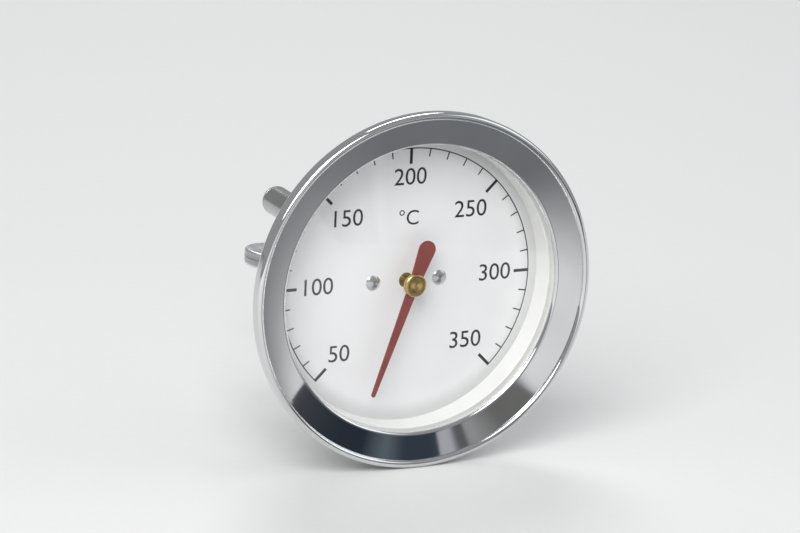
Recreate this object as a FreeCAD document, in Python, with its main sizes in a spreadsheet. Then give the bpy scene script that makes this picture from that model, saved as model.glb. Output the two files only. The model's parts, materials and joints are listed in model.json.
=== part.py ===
"""Panel-mounted dial thermometer with a bimetal probe, modelled in millimetres.

The thermometer's axis is Y. The dial faces -Y, the probe points to +Y and Z is up. The origin is the centre
of the ring at the back of the case that rests on the panel, so the panel's face is the plane Y = 0.
"""
import FreeCAD
import Part
import math
import os
import re

import Sketcher

Vector = FreeCAD.Vector

# Driving sizes in millimetres, and angles in degrees
SIZES = {
    # polished bezel, from the rim inwards
    "bezel_radius": 35.0,
    "bezel_sheet": 0.6,
    "bead_radius": 0.73,
    "band_width": 4.5,
    "band_drop": 1.0,
    "lip_roll": 0.7,
    "lip_gap": 0.1,
    "skirt_corner": 1.0,
    "hook_reach": 1.7,
    # glass and its seals
    "glass_thickness": 2.0,
    "glass_overlap": 1.85,
    "glass_play": 0.2,
    "glass_chamfer": 0.3,
    "gasket_thickness": 0.4,
    "gasket_width": 1.5,
    "gasket_inset": 0.25,
    # drawn case
    "case_sheet": 0.5,
    "case_corner": 1.8,
    "floor_recess": 0.6,
    "recess_radius": 16.5,
    "recess_slope": 1.0,
    "flange_lift": 0.5,
    "flange_play": 0.1,
    # spacer between the dial and the glass
    "spacer_reveal": 0.5,
    "spacer_wall": 0.66,
    "spacer_draft": 0.2,
    "spacer_height": 4.5,
    "spacer_flange": 0.5,
    "spacer_play": 0.1,
    # dial and its rivets
    "dial_thickness": 0.5,
    "dial_tuck": 0.4,
    "dial_hole": 1.5,
    "rivet_circle": 7.0,
    "rivet_radius": 0.8,
    "rivet_head": 1.5,
    "rivet_rise": 0.5,
    # hollow stud
    "boss_radius": 9.4,
    "boss_flange": 0.8,
    "stud_radius": 5.0,
    "stud_length": 20.0,
    "stud_chamfer": 0.8,
    # probe stem
    "stem_radius": 3.0,
    "stem_wall": 0.5,
    "neck_step": 0.2,
    "stem_length": 60.0,
    "tip_round": 1.5,
    "plug_length": 4.0,
    "anchor_length": 4.0,
    # bimetal helix
    "coil_radius": 1.75,
    "strip_thickness": 0.25,
    "strip_width": 2.0,
    "coil_pitch": 2.8,
    "coil_turns": 11.0,
    "weld_gap": 0.05,
    # shaft and bearings
    "shaft_radius": 0.6,
    "running_gap": 0.05,
    "bearing_length": 4.0,
    "guide_length": 2.0,
    "collar_length": 4.0,
    # pointer
    "pointer_lift": 3.4,
    "pointer_thickness": 0.3,
    "pointer_reach": 23.1,
    "pointer_tip": 0.9,
    "pointer_root": 2.2,
    "pointer_tail": 9.0,
    "tail_width": 3.6,
    "pointer_angle": 199.8,
    "neck_radius": 1.0,
    "shoulder_radius": 1.6,
    "shoulder_height": 1.0,
    "hub_radius": 2.3,
    "hub_height": 0.85,
    "hub_round": 0.45,
    # washers
    "panel_gap": 1.2,
    "washer_radius": 10.0,
    "washer_bore": 5.25,
    "washer_thickness": 1.6,
    "lock_radius": 8.8,
    "lock_bore": 5.15,
    "lock_thickness": 2.2,
    "lock_slit": 1.2,
    "stack_gap": 0.05,
    # wing nut
    "nut_base": 9.6,
    "nut_top": 8.2,
    "nut_height": 10.0,
    "nut_foot": 2.0,
    "bore_chamfer": 0.8,
    "wing_span": 46.0,
    "wing_rise": 20.0,
    "wing_thickness": 3.2,
    "wing_width": 8.4,
    "wing_start": 1.8,
    "wing_root": 1.0,
    "wing_round": 1.2,
    # slack between pieces that are pressed, glued or welded together
    "fit_gap": 0.02,
}

# Radii worked inwards from the rim
BAND_OUTER = "(bezel_radius - 2 * bead_radius)"
BAND_INNER = f"({BAND_OUTER} - band_width)"
LIP_INNER = f"({BAND_INNER} - lip_roll)"
GLASS_RADIUS = f"({BAND_INNER} + glass_overlap)"
UPPER_WALL = f"({GLASS_RADIUS} + glass_play)"
SPACER_INNER = f"({LIP_INNER} - spacer_reveal)"
SPACER_OUTER = f"({SPACER_INNER} + spacer_wall)"
LOWER_WALL = f"({SPACER_OUTER} + spacer_play)"
SKIRT_INNER = "(bezel_radius - bezel_sheet)"
FLANGE_RADIUS = f"({SKIRT_INNER} - flange_play)"
GASKET_OUTER = f"({GLASS_RADIUS} - gasket_inset)"

# Heights in front of the panel's face
FLOOR_FRONT = "(floor_recess + case_sheet)"
DIAL_BACK = f"({FLOOR_FRONT} + boss_flange)"
DIAL_FRONT = f"({DIAL_BACK} + dial_thickness)"
LEDGE = f"({DIAL_FRONT} + spacer_height)"
SEAT = f"({LEDGE} + spacer_flange)"
GLASS_BACK = f"({SEAT} + gasket_thickness)"
GLASS_FRONT = f"({GLASS_BACK} + glass_thickness)"
FLANGE_FRONT = f"({GLASS_FRONT} + flange_lift)"
FLANGE_BACK = f"({FLANGE_FRONT} - case_sheet)"
BAND_FOOT = f"({GLASS_FRONT} + lip_gap + lip_roll)"
RIM = f"({BAND_FOOT} + band_drop)"
BAND_SLOPE = "(band_drop / band_width)"
BAND_UNDER = f"({BAND_FOOT} - bezel_sheet / cos(atan{BAND_SLOPE}))"
POINTER_BACK = f"({DIAL_FRONT} + pointer_lift)"
POINTER_FRONT = f"({POINTER_BACK} + pointer_thickness)"
HUB_FRONT = f"({POINTER_FRONT} + hub_height)"
SHAFT_FRONT = f"({POINTER_FRONT} + hub_height / 2)"

# Stations behind the panel's face
TUBE_BORE = "(stem_radius - stem_wall)"
TUBE_NECK = "(stem_radius - neck_step)"
TUBE_END = "(stem_length - tip_round)"
PLUG_RADIUS = f"({TUBE_BORE} - fit_gap)"
COIL_LENGTH = "(coil_pitch * coil_turns)"
COIL_INNER = "(coil_radius - strip_thickness / 2)"
WELD_RADIUS = f"({COIL_INNER} - weld_gap)"
ANCHOR_END = f"({TUBE_END} - plug_length)"
COIL_END = f"({ANCHOR_END} - strip_width / 2)"
COIL_START = f"({COIL_END} - {COIL_LENGTH})"
COLLAR_START = f"({COIL_START} - strip_width / 2)"
GUIDE_END = f"({COLLAR_START} - stack_gap)"
SHAFT_END = f"({COLLAR_START} + collar_length)"
FLAT_END = "(panel_gap + washer_thickness)"
LOCK_START = f"({FLAT_END} + stack_gap)"
LOCK_END = f"({LOCK_START} + lock_thickness)"
NUT_START = f"({LOCK_END} + stack_gap)"
NUT_END = f"({NUT_START} + nut_height)"
NUT_BORE = "(stud_radius + running_gap)"

# An edge that rises by less than this along Z counts as level
LEVEL = 1e-6

DOC = FreeCAD.newDocument("thermometer")
SHEET = DOC.addObject("Spreadsheet::Sheet", "Sizes")


def fill_sheet():
    """Write each driving size to a cell of its own, with its name as the alias."""
    for row, (name, value) in enumerate(SIZES.items(), start=1):
        SHEET.set(f"A{row}", name)
        SHEET.set(f"B{row}", str(value))
        SHEET.setAlias(f"B{row}", name)
    DOC.recompute()


def linked(formula):
    """A formula in size names, with each name pointed at its cell."""
    return re.sub(r"[a-z_]+", lambda word: f"Sizes.{word[0]}" if word[0] in SIZES else word[0], formula)


def number(formula):
    """What a formula in size names comes to now."""
    return float(SHEET.evalExpression(linked(formula)))


def bind(thing, prop, formula):
    """Tie a property, or a constraint by its name, to a formula in size names."""
    thing.setExpression(prop, linked(formula))


def new_body(name):
    """An empty body with its name as its label, which names its file."""
    body = DOC.addObject("PartDesign::Body", name)
    body.Label = name
    return body


def new_sketch(body, plane="XY_Plane", height=None):
    """An empty sketch on one of the body's own planes, lifted along the plane's normal by a formula."""
    sketch = body.newObject("Sketcher::SketchObject", "Sketch")
    support = [item for item in body.Origin.OriginFeatures if item.Role == plane]
    sketch.AttachmentSupport = [(support[0], "")]
    sketch.MapMode = "FlatFace"
    if height:
        bind(sketch, "AttachmentOffset.Base.z", height)
    return sketch


def pin_point(sketch, piece, end, across, up):
    """Hold one end of a piece of the sketch at the place that two formulas give."""
    for kind, formula in (("DistanceX", across), ("DistanceY", up)):
        index = sketch.addConstraint(Sketcher.Constraint(kind, -1, 1, piece, end, number(formula)))
        sketch.renameConstraint(index, f"{kind}_{piece}_{end}")
        bind(sketch, f"Constraints.{kind}_{piece}_{end}", formula)


def arc_between(start, end, radius, turn):
    """The short arc from start to end. turn is +1 if it bends to the left of the way, and -1 otherwise."""
    middle = (start + end) * 0.5
    half = (end - start).Length / 2
    left = Vector(start.y - end.y, end.x - start.x, 0).normalize()
    centre = middle + left * (turn * math.sqrt(max(radius**2 - half**2, 0)))
    first, last = (start, end) if turn > 0 else (end, start)
    angles = [math.atan2(point.y - centre.y, point.x - centre.x) for point in (first, last)]
    return Part.ArcOfCircle(Part.Circle(centre, Vector(0, 0, 1), radius), *angles)


def outline(sketch, corners):
    """Draw a closed outline through corners, each (across, up) or, where an arc leads to the next corner,
    (across, up, radius, turn). Every size is a formula."""
    points = [Vector(number(corner[0]), number(corner[1]), 0) for corner in corners]
    ends = []
    for index, corner in enumerate(corners):
        start, end = points[index], points[(index + 1) % len(points)]
        if len(corner) == 2:
            piece = sketch.addGeometry(Part.LineSegment(start, end))
            ends.append((piece, 1, 2))
            continue
        radius, turn = corner[2:]
        piece = sketch.addGeometry(arc_between(start, end, number(radius), turn))
        ends.append((piece, 1, 2) if turn > 0 else (piece, 2, 1))
    for index, (piece, first, last) in enumerate(ends):
        following, its_first, _ = ends[(index + 1) % len(ends)]
        sketch.addConstraint(Sketcher.Constraint("Coincident", piece, last, following, its_first))
        pin_point(sketch, piece, first, *corners[index][:2])
        if len(corners[index]) == 4:
            radius = corners[index][2]
            hold = sketch.addConstraint(Sketcher.Constraint("Radius", piece, number(radius)))
            sketch.renameConstraint(hold, f"Radius_{piece}")
            bind(sketch, f"Constraints.Radius_{piece}", radius)


def both_sides(right):
    """The right half of an outline and its mirror image, as one closed run of corners that goes up the
    right. A corner on the middle line, where across is "0", is there once."""
    bends = [corner[2:] for corner in right[-2::-1]] + [()]
    left = [(f"-({across})", up, *bend) for (across, up, *_), bend in zip(right[::-1], bends)]
    if right[-1][0] == "0":
        right = right[:-1]
        left[0] = ("0", *left[0][1:])
    if right[0][0] == "0":
        left = left[:-1]
    return right + left


def circle(sketch, across, up, radius):
    """Draw a circle whose centre and radius are formulas."""
    centre = Vector(number(across), number(up), 0)
    piece = sketch.addGeometry(Part.Circle(centre, Vector(0, 0, 1), number(radius)))
    pin_point(sketch, piece, 3, across, up)
    hold = sketch.addConstraint(Sketcher.Constraint("Radius", piece, number(radius)))
    sketch.renameConstraint(hold, f"Radius_{piece}")
    bind(sketch, f"Constraints.Radius_{piece}", radius)


def behind(height):
    """The station on the Y axis of a height in front of the panel."""
    return f"-{height}"


def turn_profile(body, corners, kind="Revolution"):
    """Turn an outline, drawn as (radius, station), round the thermometer's axis."""
    sketch = new_sketch(body)
    outline(sketch, corners)
    feature = body.newObject(f"PartDesign::{kind}", kind)
    feature.Profile = sketch
    feature.ReferenceAxis = (sketch, ["V_Axis"])
    feature.Angle = 360
    return feature


def turned(name, corners):
    """A body made of one turned profile."""
    body = new_body(name)
    turn_profile(body, corners)
    return body


def ring(name, inner, outer, front, back):
    """A plain ring between two radii and two stations."""
    return turned(name, [(inner, front), (outer, front), (outer, back), (inner, back)])


def pair_of(body, feature):
    """Repeat a feature on the other side of the thermometer's axis."""
    pattern = body.newObject("PartDesign::PolarPattern", "PolarPattern")
    pattern.Originals = [feature]
    pattern.Axis = ([item for item in body.Origin.OriginFeatures if item.Role == "Y_Axis"][0], [""])
    pattern.Angle = 360
    pattern.Occurrences = 2
    body.Tip = pattern


def rivet_holes(body):
    """Two holes through the body, on the circle of the dial's rivets."""
    sketch = new_sketch(body, "XZ_Plane")
    circle(sketch, "rivet_circle", "0", "rivet_radius")
    hole = body.newObject("PartDesign::Pocket", "Pocket")
    hole.Profile = sketch
    hole.Type = "ThroughAll"
    hole.Midplane = True
    pair_of(body, hole)


def make_bezel():
    """Steel ring: rolled bead, dished band, inner lip rolled towards the glass, skirt and crimped hook."""
    lip_back = f"({BAND_FOOT} - lip_roll)"
    lip_wall = f"({LIP_INNER} + bezel_sheet)"
    reach = f"({SKIRT_INNER} - {lip_wall})"
    hook_back = f"({FLANGE_BACK} - bezel_sheet)"
    start = f"({BAND_UNDER} - ({BAND_INNER} - {lip_wall}) * {BAND_SLOPE})"
    return turned("bezel_ring", [
        (BAND_OUTER, behind(RIM), "bead_radius", 1),
        ("bezel_radius - bead_radius", f"-{RIM} - bead_radius", "bead_radius", 1),
        ("bezel_radius", behind(RIM)),
        ("bezel_radius", f"-({hook_back} + skirt_corner)", "skirt_corner", 1),
        ("bezel_radius - skirt_corner", behind(hook_back)),
        (f"{SKIRT_INNER} - hook_reach", behind(hook_back)),
        (f"{SKIRT_INNER} - hook_reach", behind(FLANGE_BACK)),
        (SKIRT_INNER, behind(FLANGE_BACK)),
        (SKIRT_INNER, f"-({start} + {reach} * {BAND_SLOPE})"),
        (lip_wall, behind(start)),
        (lip_wall, behind(lip_back)),
        (LIP_INNER, behind(lip_back), "lip_roll", 1),
        (BAND_INNER, behind(BAND_FOOT)),
    ])


def make_glass():
    """Flat lens with its edges ground to a chamfer."""
    edge = f"({GLASS_RADIUS} - glass_chamfer)"
    return turned("glass_lens", [
        ("0", behind(GLASS_FRONT)),
        (edge, behind(GLASS_FRONT)),
        (GLASS_RADIUS, f"-({GLASS_FRONT} - glass_chamfer)"),
        (GLASS_RADIUS, f"-({GLASS_BACK} + glass_chamfer)"),
        (edge, behind(GLASS_BACK)),
        ("0", behind(GLASS_BACK)),
    ])


def make_front_gasket():
    """Seal that fills the wedge between the glass and the underside of the bezel's band."""
    inner = f"({GASKET_OUTER} - gasket_width)"
    top = f"({BAND_UNDER} - fit_gap)"
    return turned("front_gasket", [
        (inner, behind(GLASS_FRONT)),
        (inner, f"-({top} + ({inner} - {BAND_INNER}) * {BAND_SLOPE})"),
        (GASKET_OUTER, f"-({top} + ({GASKET_OUTER} - {BAND_INNER}) * {BAND_SLOPE})"),
        (GASKET_OUTER, behind(GLASS_FRONT)),
    ])


def make_seat_gasket():
    """Flat seal between the spacer's flange and the glass."""
    inner = f"{GASKET_OUTER} - gasket_width"
    return ring("seat_gasket", inner, GASKET_OUTER, behind(GLASS_BACK), behind(SEAT))


def make_case():
    """Drawn cup: recessed floor, contact ring round it, wall, ledge and the flange that the bezel grips."""
    slope_end = "(recess_radius + recess_slope)"
    outer = f"({LOWER_WALL} + case_sheet)"
    upper_outer = f"({UPPER_WALL} + case_sheet)"
    inner_corner = "(case_corner - case_sheet)"
    return turned("case_cup", [
        ("stud_radius + fit_gap", "-floor_recess"),
        ("recess_radius", "-floor_recess"),
        (slope_end, "0"),
        (f"{outer} - case_corner", "0", "case_corner", -1),
        (outer, "-case_corner"),
        (outer, f"-({LEDGE} - case_sheet)"),
        (upper_outer, f"-({LEDGE} - case_sheet)"),
        (upper_outer, behind(FLANGE_BACK)),
        (FLANGE_RADIUS, behind(FLANGE_BACK)),
        (FLANGE_RADIUS, behind(FLANGE_FRONT)),
        (UPPER_WALL, behind(FLANGE_FRONT)),
        (UPPER_WALL, behind(LEDGE)),
        (LOWER_WALL, behind(LEDGE)),
        (LOWER_WALL, "-case_corner", inner_corner, 1),
        (f"{LOWER_WALL} - {inner_corner}", "-case_sheet"),
        (slope_end, "-case_sheet"),
        ("recess_radius", behind(FLOOR_FRONT)),
        ("stud_radius + fit_gap", behind(FLOOR_FRONT)),
    ])


def make_spacer():
    """White ring that holds the dial down and carries the glass on its flange."""
    return turned("spacer_ring", [
        (SPACER_INNER, behind(DIAL_FRONT)),
        (f"{SPACER_INNER} + spacer_draft", behind(SEAT)),
        (GLASS_RADIUS, behind(SEAT)),
        (GLASS_RADIUS, behind(LEDGE)),
        (SPACER_OUTER, behind(LEDGE)),
        (SPACER_OUTER, behind(DIAL_FRONT)),
    ])


def make_dial():
    """Flat dial, tucked under the spacer at its edge and riveted to the stud's flange."""
    edge = f"{SPACER_INNER} + dial_tuck"
    dial = ring("dial_plate", "dial_hole", edge, behind(DIAL_FRONT), behind(DIAL_BACK))
    rivet_holes(dial)
    return dial


def make_rivets():
    """Two domed rivets through the dial and the stud's flange."""
    body = new_body("dial_rivets")
    sketch = new_sketch(body)
    shank = "(rivet_radius - fit_gap)"
    dome = "((rivet_head ^ 2 + rivet_rise ^ 2) / (2 * rivet_rise))"
    outline(sketch, [
        ("rivet_circle", behind(FLOOR_FRONT)),
        ("rivet_circle", f"-({DIAL_FRONT} + rivet_rise)", dome, -1),
        ("rivet_circle - rivet_head", behind(DIAL_FRONT)),
        (f"rivet_circle - {shank}", behind(DIAL_FRONT)),
        (f"rivet_circle - {shank}", behind(FLOOR_FRONT)),
    ])
    rivet = body.newObject("PartDesign::Revolution", "Revolution")
    rivet.Profile = sketch
    rivet.ReferenceAxis = (sketch, ["Edge1"])
    rivet.Angle = 360
    pair_of(body, rivet)
    return body


def make_boss():
    """Hollow stud: a flange inside the case, a threaded shank behind it and a bore for the probe."""
    bore = f"({TUBE_NECK} + fit_gap)"
    boss = turned("stem_boss", [
        (bore, behind(DIAL_BACK)),
        ("boss_radius", behind(DIAL_BACK)),
        ("boss_radius", behind(FLOOR_FRONT)),
        ("stud_radius", behind(FLOOR_FRONT)),
        ("stud_radius", "stud_length - stud_chamfer"),
        ("stud_radius - stud_chamfer", "stud_length"),
        (bore, "stud_length"),
    ])
    rivet_holes(boss)
    return boss


def make_tube():
    """Probe tube: a neck inside the stud, and a shoulder that stops it at the stud's end."""
    return turned("stem_tube", [
        (TUBE_BORE, behind(DIAL_BACK)),
        (TUBE_NECK, behind(DIAL_BACK)),
        (TUBE_NECK, "stud_length + fit_gap"),
        ("stem_radius", "stud_length + fit_gap"),
        ("stem_radius", TUBE_END),
        (TUBE_BORE, TUBE_END),
    ])


def make_tip_plug():
    """Plug that closes the probe with a rounded end; its spigot anchors the helix."""
    seat = f"{TUBE_END} + fit_gap"
    spigot = f"({ANCHOR_END} - anchor_length)"
    return turned("tip_plug", [
        ("0", spigot),
        (WELD_RADIUS, spigot),
        (WELD_RADIUS, ANCHOR_END),
        (PLUG_RADIUS, ANCHOR_END),
        (PLUG_RADIUS, seat),
        ("stem_radius", seat, "tip_round - fit_gap", 1),
        ("stem_radius - tip_round + fit_gap", "stem_length"),
        ("0", "stem_length"),
    ])


def make_bearings():
    """Two bushes that the pointer's shaft turns in: one behind the dial, one before the helix."""
    bore = "(shaft_radius + running_gap)"
    upper_front = f"({DIAL_BACK} - stack_gap)"
    upper = ring("upper_bearing", bore, PLUG_RADIUS, behind(upper_front), f"bearing_length - {upper_front}")
    lower = ring("lower_bearing", bore, PLUG_RADIUS, f"{GUIDE_END} - guide_length", GUIDE_END)
    return [upper, lower]


def make_coil():
    """Bimetal strip wound to a helix, from the shaft's collar to the plug's spigot."""
    body = new_body("bimetal_coil")
    sketch = new_sketch(body)
    outer = "(coil_radius + strip_thickness / 2)"
    low = f"({COIL_START} - strip_width / 2)"
    high = f"({COIL_START} + strip_width / 2)"
    outline(sketch, [(COIL_INNER, low), (outer, low), (outer, high), (COIL_INNER, high)])
    helix = body.newObject("PartDesign::AdditiveHelix", "AdditiveHelix")
    helix.Profile = sketch
    helix.ReferenceAxis = (sketch, ["V_Axis"])
    helix.Mode = "pitch-turns-angle"
    bind(helix, "Pitch", "coil_pitch")
    bind(helix, "Turns", "coil_turns")
    helix.Reversed = False
    return body


def make_collar():
    """Collar pressed on the shaft inside the helix's free end."""
    return ring("coil_collar", "shaft_radius + fit_gap", WELD_RADIUS, COLLAR_START, SHAFT_END)


def make_shaft():
    """Shaft from the pointer's hub to the collar."""
    return turned("pointer_shaft", [
        ("0", behind(SHAFT_FRONT)),
        ("shaft_radius", behind(SHAFT_FRONT)),
        ("shaft_radius", SHAFT_END),
        ("0", SHAFT_END),
    ])


def make_hub():
    """Turned hub: a shoulder behind the pointer, a neck through it and a rounded head in front."""
    bore = "(shaft_radius + fit_gap)"
    return turned("pointer_hub", [
        (bore, f"-({POINTER_BACK} - shoulder_height)"),
        ("shoulder_radius", f"-({POINTER_BACK} - shoulder_height)"),
        ("shoulder_radius", behind(POINTER_BACK)),
        ("neck_radius", behind(POINTER_BACK)),
        ("neck_radius", behind(POINTER_FRONT)),
        ("hub_radius", behind(POINTER_FRONT)),
        ("hub_radius", f"-({HUB_FRONT} - hub_round)", "hub_round", -1),
        ("hub_radius - hub_round", behind(HUB_FRONT)),
        ("0", behind(HUB_FRONT)),
        ("0", f"-({SHAFT_FRONT} + fit_gap)"),
        (bore, f"-({SHAFT_FRONT} + fit_gap)"),
    ])


def make_pointer():
    """Flat tapered pointer with a wider tail as balance, drawn upright and turned to its rest angle."""
    body = new_body("pointer")
    sketch = new_sketch(body, "XZ_Plane", POINTER_BACK)
    outline(sketch, both_sides([
        ("0", "-pointer_tail", "tail_width / 2", 1),
        ("tail_width / 2", "tail_width / 2 - pointer_tail"),
        ("pointer_root / 2", "0"),
        ("pointer_tip / 2", "pointer_reach - pointer_tip / 2", "pointer_tip / 2", 1),
        ("0", "pointer_reach"),
    ]))
    circle(sketch, "0", "0", "neck_radius + fit_gap")
    blade = body.newObject("PartDesign::Pad", "Pad")
    blade.Profile = sketch
    bind(blade, "Length", "pointer_thickness")
    body.Placement = FreeCAD.Placement(Vector(), FreeCAD.Rotation(Vector(0, 1, 0), number("pointer_angle")))
    return body


def make_washers():
    """Plain washer against the panel, and the split spring washer under the nut."""
    flat = ring("flat_washer", "washer_bore", "washer_radius", "panel_gap", FLAT_END)
    lock = ring("lock_washer", "lock_bore", "lock_radius", LOCK_START, LOCK_END)
    sketch = new_sketch(lock)
    outline(sketch, [
        ("-lock_slit", f"{LOCK_START} - lock_slit"),
        ("0", f"{LOCK_START} - lock_slit"),
        ("lock_slit", f"{LOCK_END} + lock_slit"),
        ("0", f"{LOCK_END} + lock_slit"),
    ])
    slit = lock.newObject("PartDesign::Pocket", "Pocket")
    slit.Profile = sketch
    slit.Type = "ThroughAll"
    return [flat, lock]


def soften(body, feature, radius, wanted):
    """Fillet the feature's edges that a test picks out."""
    edges = feature.Shape.Edges
    picked = [f"Edge{index}" for index, edge in enumerate(edges, start=1) if wanted(edge)]
    fillet = body.newObject("PartDesign::Fillet", "Fillet")
    fillet.Base = (feature, picked)
    bind(fillet, "Radius", radius)
    return fillet


def make_wing_nut():
    """Cast nut: two rounded wings through a conical hub, with a chamfered bore."""
    body = new_body("wing_nut")
    sketch = new_sketch(body)
    tip = "(wing_span / 2)"
    top = f"({NUT_START} + wing_rise)"
    ear = "(wing_width / 2)"
    root = "(nut_top - wing_root)"
    outline(sketch, both_sides([
        (root, f"{NUT_START} + wing_start"),
        (f"{tip} - {ear}", f"{NUT_START} + wing_width", "wing_width", 1),
        (tip, f"{top} - {ear}", ear, 1),
        (f"{tip} - {ear}", top, ear, 1),
        (f"{tip} - wing_width", f"{top} - {ear}", "wing_width", -1),
        (root, f"{NUT_END} - wing_root"),
    ]))
    wings = body.newObject("PartDesign::Pad", "Pad")
    wings.Profile = sketch
    wings.Midplane = True
    bind(wings, "Length", "wing_thickness")
    DOC.recompute()
    soften(body, wings, "wing_round", lambda edge: edge.BoundBox.ZLength < LEVEL)
    turn_profile(body, [
        ("0", NUT_START),
        ("nut_base", NUT_START),
        ("nut_base", f"{NUT_START} + nut_foot"),
        ("nut_top", NUT_END),
        ("0", NUT_END),
    ])
    turn_profile(body, [
        ("0", f"{NUT_START} - bore_chamfer"),
        (f"{NUT_BORE} + 2 * bore_chamfer", f"{NUT_START} - bore_chamfer"),
        (NUT_BORE, f"{NUT_START} + bore_chamfer"),
        (NUT_BORE, f"{NUT_END} - bore_chamfer"),
        (f"{NUT_BORE} + 2 * bore_chamfer", f"{NUT_END} + bore_chamfer"),
        ("0", f"{NUT_END} + bore_chamfer"),
    ], "Groove")
    return body


def check(pieces):
    """Stop if any object of the document failed, or a piece isn't a sound solid."""
    failed = [item.Name for item in DOC.Objects if {"Invalid", "Error"} & set(item.State)]
    if failed:
        raise RuntimeError(f"these objects failed: {failed}")
    for piece in pieces:
        shape = piece.Shape
        if shape.isNull() or not shape.isValid() or not shape.Solids:
            raise RuntimeError(f"{piece.Label} has no sound solid")


def main():
    """Make every piece, check them and write one STEP file for each."""
    fill_sheet()
    pieces = [
        make_bezel(),
        make_glass(),
        make_front_gasket(),
        make_seat_gasket(),
        make_case(),
        make_spacer(),
        make_dial(),
        make_rivets(),
        make_boss(),
        make_tube(),
        make_tip_plug(),
        *make_bearings(),
        make_coil(),
        make_collar(),
        make_shaft(),
        make_hub(),
        make_pointer(),
        *make_washers(),
        make_wing_nut(),
    ]
    DOC.recompute()
    check(pieces)
    os.makedirs("parts", exist_ok=True)
    for piece in pieces:
        piece.Shape.exportStep(f"parts/{piece.Label}.step")
        print(f"{piece.Label}: {len(piece.Shape.Solids)} solid(s), {piece.Shape.Volume:.2f} mm3")


main()
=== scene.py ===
"""Fine shapes, finishes, studio and camera for the panel-mounted dial thermometer.

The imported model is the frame: the thermometer's axis is Y, its dial faces -Y, its probe points to +Y and Z
is up. Sizes are in millimetres and become metres where a mesh or a node is made. An outline is drawn across
and up: for a turned piece, across is its radius and up is how far it lies in front of the panel's face.
"""

import json
import logging
import math
from collections.abc import Sequence
from dataclasses import dataclass, field
from enum import Enum
from functools import cache
from typing import Any, NamedTuple

import bmesh
import bpy
from bpy.types import Material, Mesh, Node, NodeSocket, NodeTree, Object
from mathutils import Matrix, Quaternion, Vector


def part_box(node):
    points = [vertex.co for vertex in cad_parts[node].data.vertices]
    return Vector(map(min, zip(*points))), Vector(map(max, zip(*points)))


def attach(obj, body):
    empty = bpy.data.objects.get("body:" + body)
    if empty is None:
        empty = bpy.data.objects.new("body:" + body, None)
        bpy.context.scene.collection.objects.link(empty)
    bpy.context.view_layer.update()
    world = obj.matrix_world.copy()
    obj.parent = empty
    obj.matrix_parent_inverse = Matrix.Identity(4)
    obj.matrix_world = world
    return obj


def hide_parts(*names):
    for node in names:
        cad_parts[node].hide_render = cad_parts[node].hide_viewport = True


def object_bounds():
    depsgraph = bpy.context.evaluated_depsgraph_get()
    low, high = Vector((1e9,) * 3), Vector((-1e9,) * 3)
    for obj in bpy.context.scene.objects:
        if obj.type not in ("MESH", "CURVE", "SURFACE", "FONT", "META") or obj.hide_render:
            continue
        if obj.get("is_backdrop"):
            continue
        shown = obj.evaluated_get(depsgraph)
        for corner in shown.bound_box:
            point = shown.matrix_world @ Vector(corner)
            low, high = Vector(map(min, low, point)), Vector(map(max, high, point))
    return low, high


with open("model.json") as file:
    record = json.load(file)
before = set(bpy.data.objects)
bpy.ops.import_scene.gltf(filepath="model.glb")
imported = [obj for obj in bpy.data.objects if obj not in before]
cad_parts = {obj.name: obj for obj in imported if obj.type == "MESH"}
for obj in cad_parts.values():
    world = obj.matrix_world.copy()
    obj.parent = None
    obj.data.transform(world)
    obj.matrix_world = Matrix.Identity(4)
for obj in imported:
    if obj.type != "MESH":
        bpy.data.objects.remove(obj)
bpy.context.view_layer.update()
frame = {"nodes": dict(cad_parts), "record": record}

LOG = logging.getLogger("thermometer")
MM = 0.001
FULL_TURN = 2 * math.pi
SHARP_EDGE = math.radians(35)  # faces that meet at more than this keep a crisp edge
SAME_POINT = 0.0005  # points nearer to each other than this are one, in millimetres
ON_AXIS = 1e-6  # a point nearer to the axis than this lies on it, in millimetres
OVERRUN = 1.0  # how far a cutting tool reaches past what it cuts, in millimetres

RECORD = frame["record"]
BODY_OF = {node: body for body, nodes in RECORD["behaviour"]["bodies"].items() for node in nodes}


# ---------------------------------------------------------------- measuring the frame


class Extent(NamedTuple):
    """What a CAD node's box says of a piece round the axis, in millimetres."""

    radius: float
    back: float
    front: float


def extent(node: str) -> Extent:
    """Measure a CAD node.

    Args:
        node: name of the CAD node.

    Returns:
        Its widest radius along X, and how far its back and front lie in front of the panel's face.
    """
    low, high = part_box(node)
    return Extent(high.x / MM, -high.y / MM, -low.y / MM)


# ---------------------------------------------------------------- outlines


class Corner(NamedTuple):
    """A corner of an outline.

    Ease is the radius that rounds it off. Bend is the radius of an arc on to the next corner, positive where
    the arc turns left and negative where it turns right.
    """

    across: float
    up: float
    ease: float = 0.0
    bend: float = 0.0


def plain_ring(inner: float, outer: float, back: float, front: float, ease: float = 0.0) -> list[Corner]:
    """Draw the section of a plain ring, or of a disc where its inner radius is 0."""
    return [Corner(across, up, ease) for across, up in (
        (inner, front), (outer, front), (outer, back), (inner, back))]


def swept(centre: Vector, start: Vector, sweep: float, steps: int) -> list[Vector]:
    """Points on an arc.

    Args:
        centre: centre of the arc.
        start: first point, taken from the centre.
        sweep: signed angle to the last point, in radians.
        steps: number of chords.

    Returns:
        The points, both ends included.
    """
    return [centre + Matrix.Rotation(sweep * step / steps, 2) @ start for step in range(steps + 1)]


def eased(before: Vector, here: Vector, after: Vector, radius: float, steps: int) -> list[Vector]:
    """Round off one corner.

    Args:
        before: the corner before it.
        here: the corner.
        after: the corner after it.
        radius: radius of the rounding.
        steps: number of chords.

    Returns:
        The points that take the corner's place.
    """
    back, ahead = (before - here).normalized(), (after - here).normalized()
    half = back.angle(ahead) / 2
    centre = here + (back + ahead).normalized() * (radius / math.sin(half))
    start = here + back * (radius / math.tan(half)) - centre
    way = 1 if back.x * ahead.y - back.y * ahead.x < 0 else -1
    return swept(centre, start, way * (math.pi - 2 * half), steps)


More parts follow.
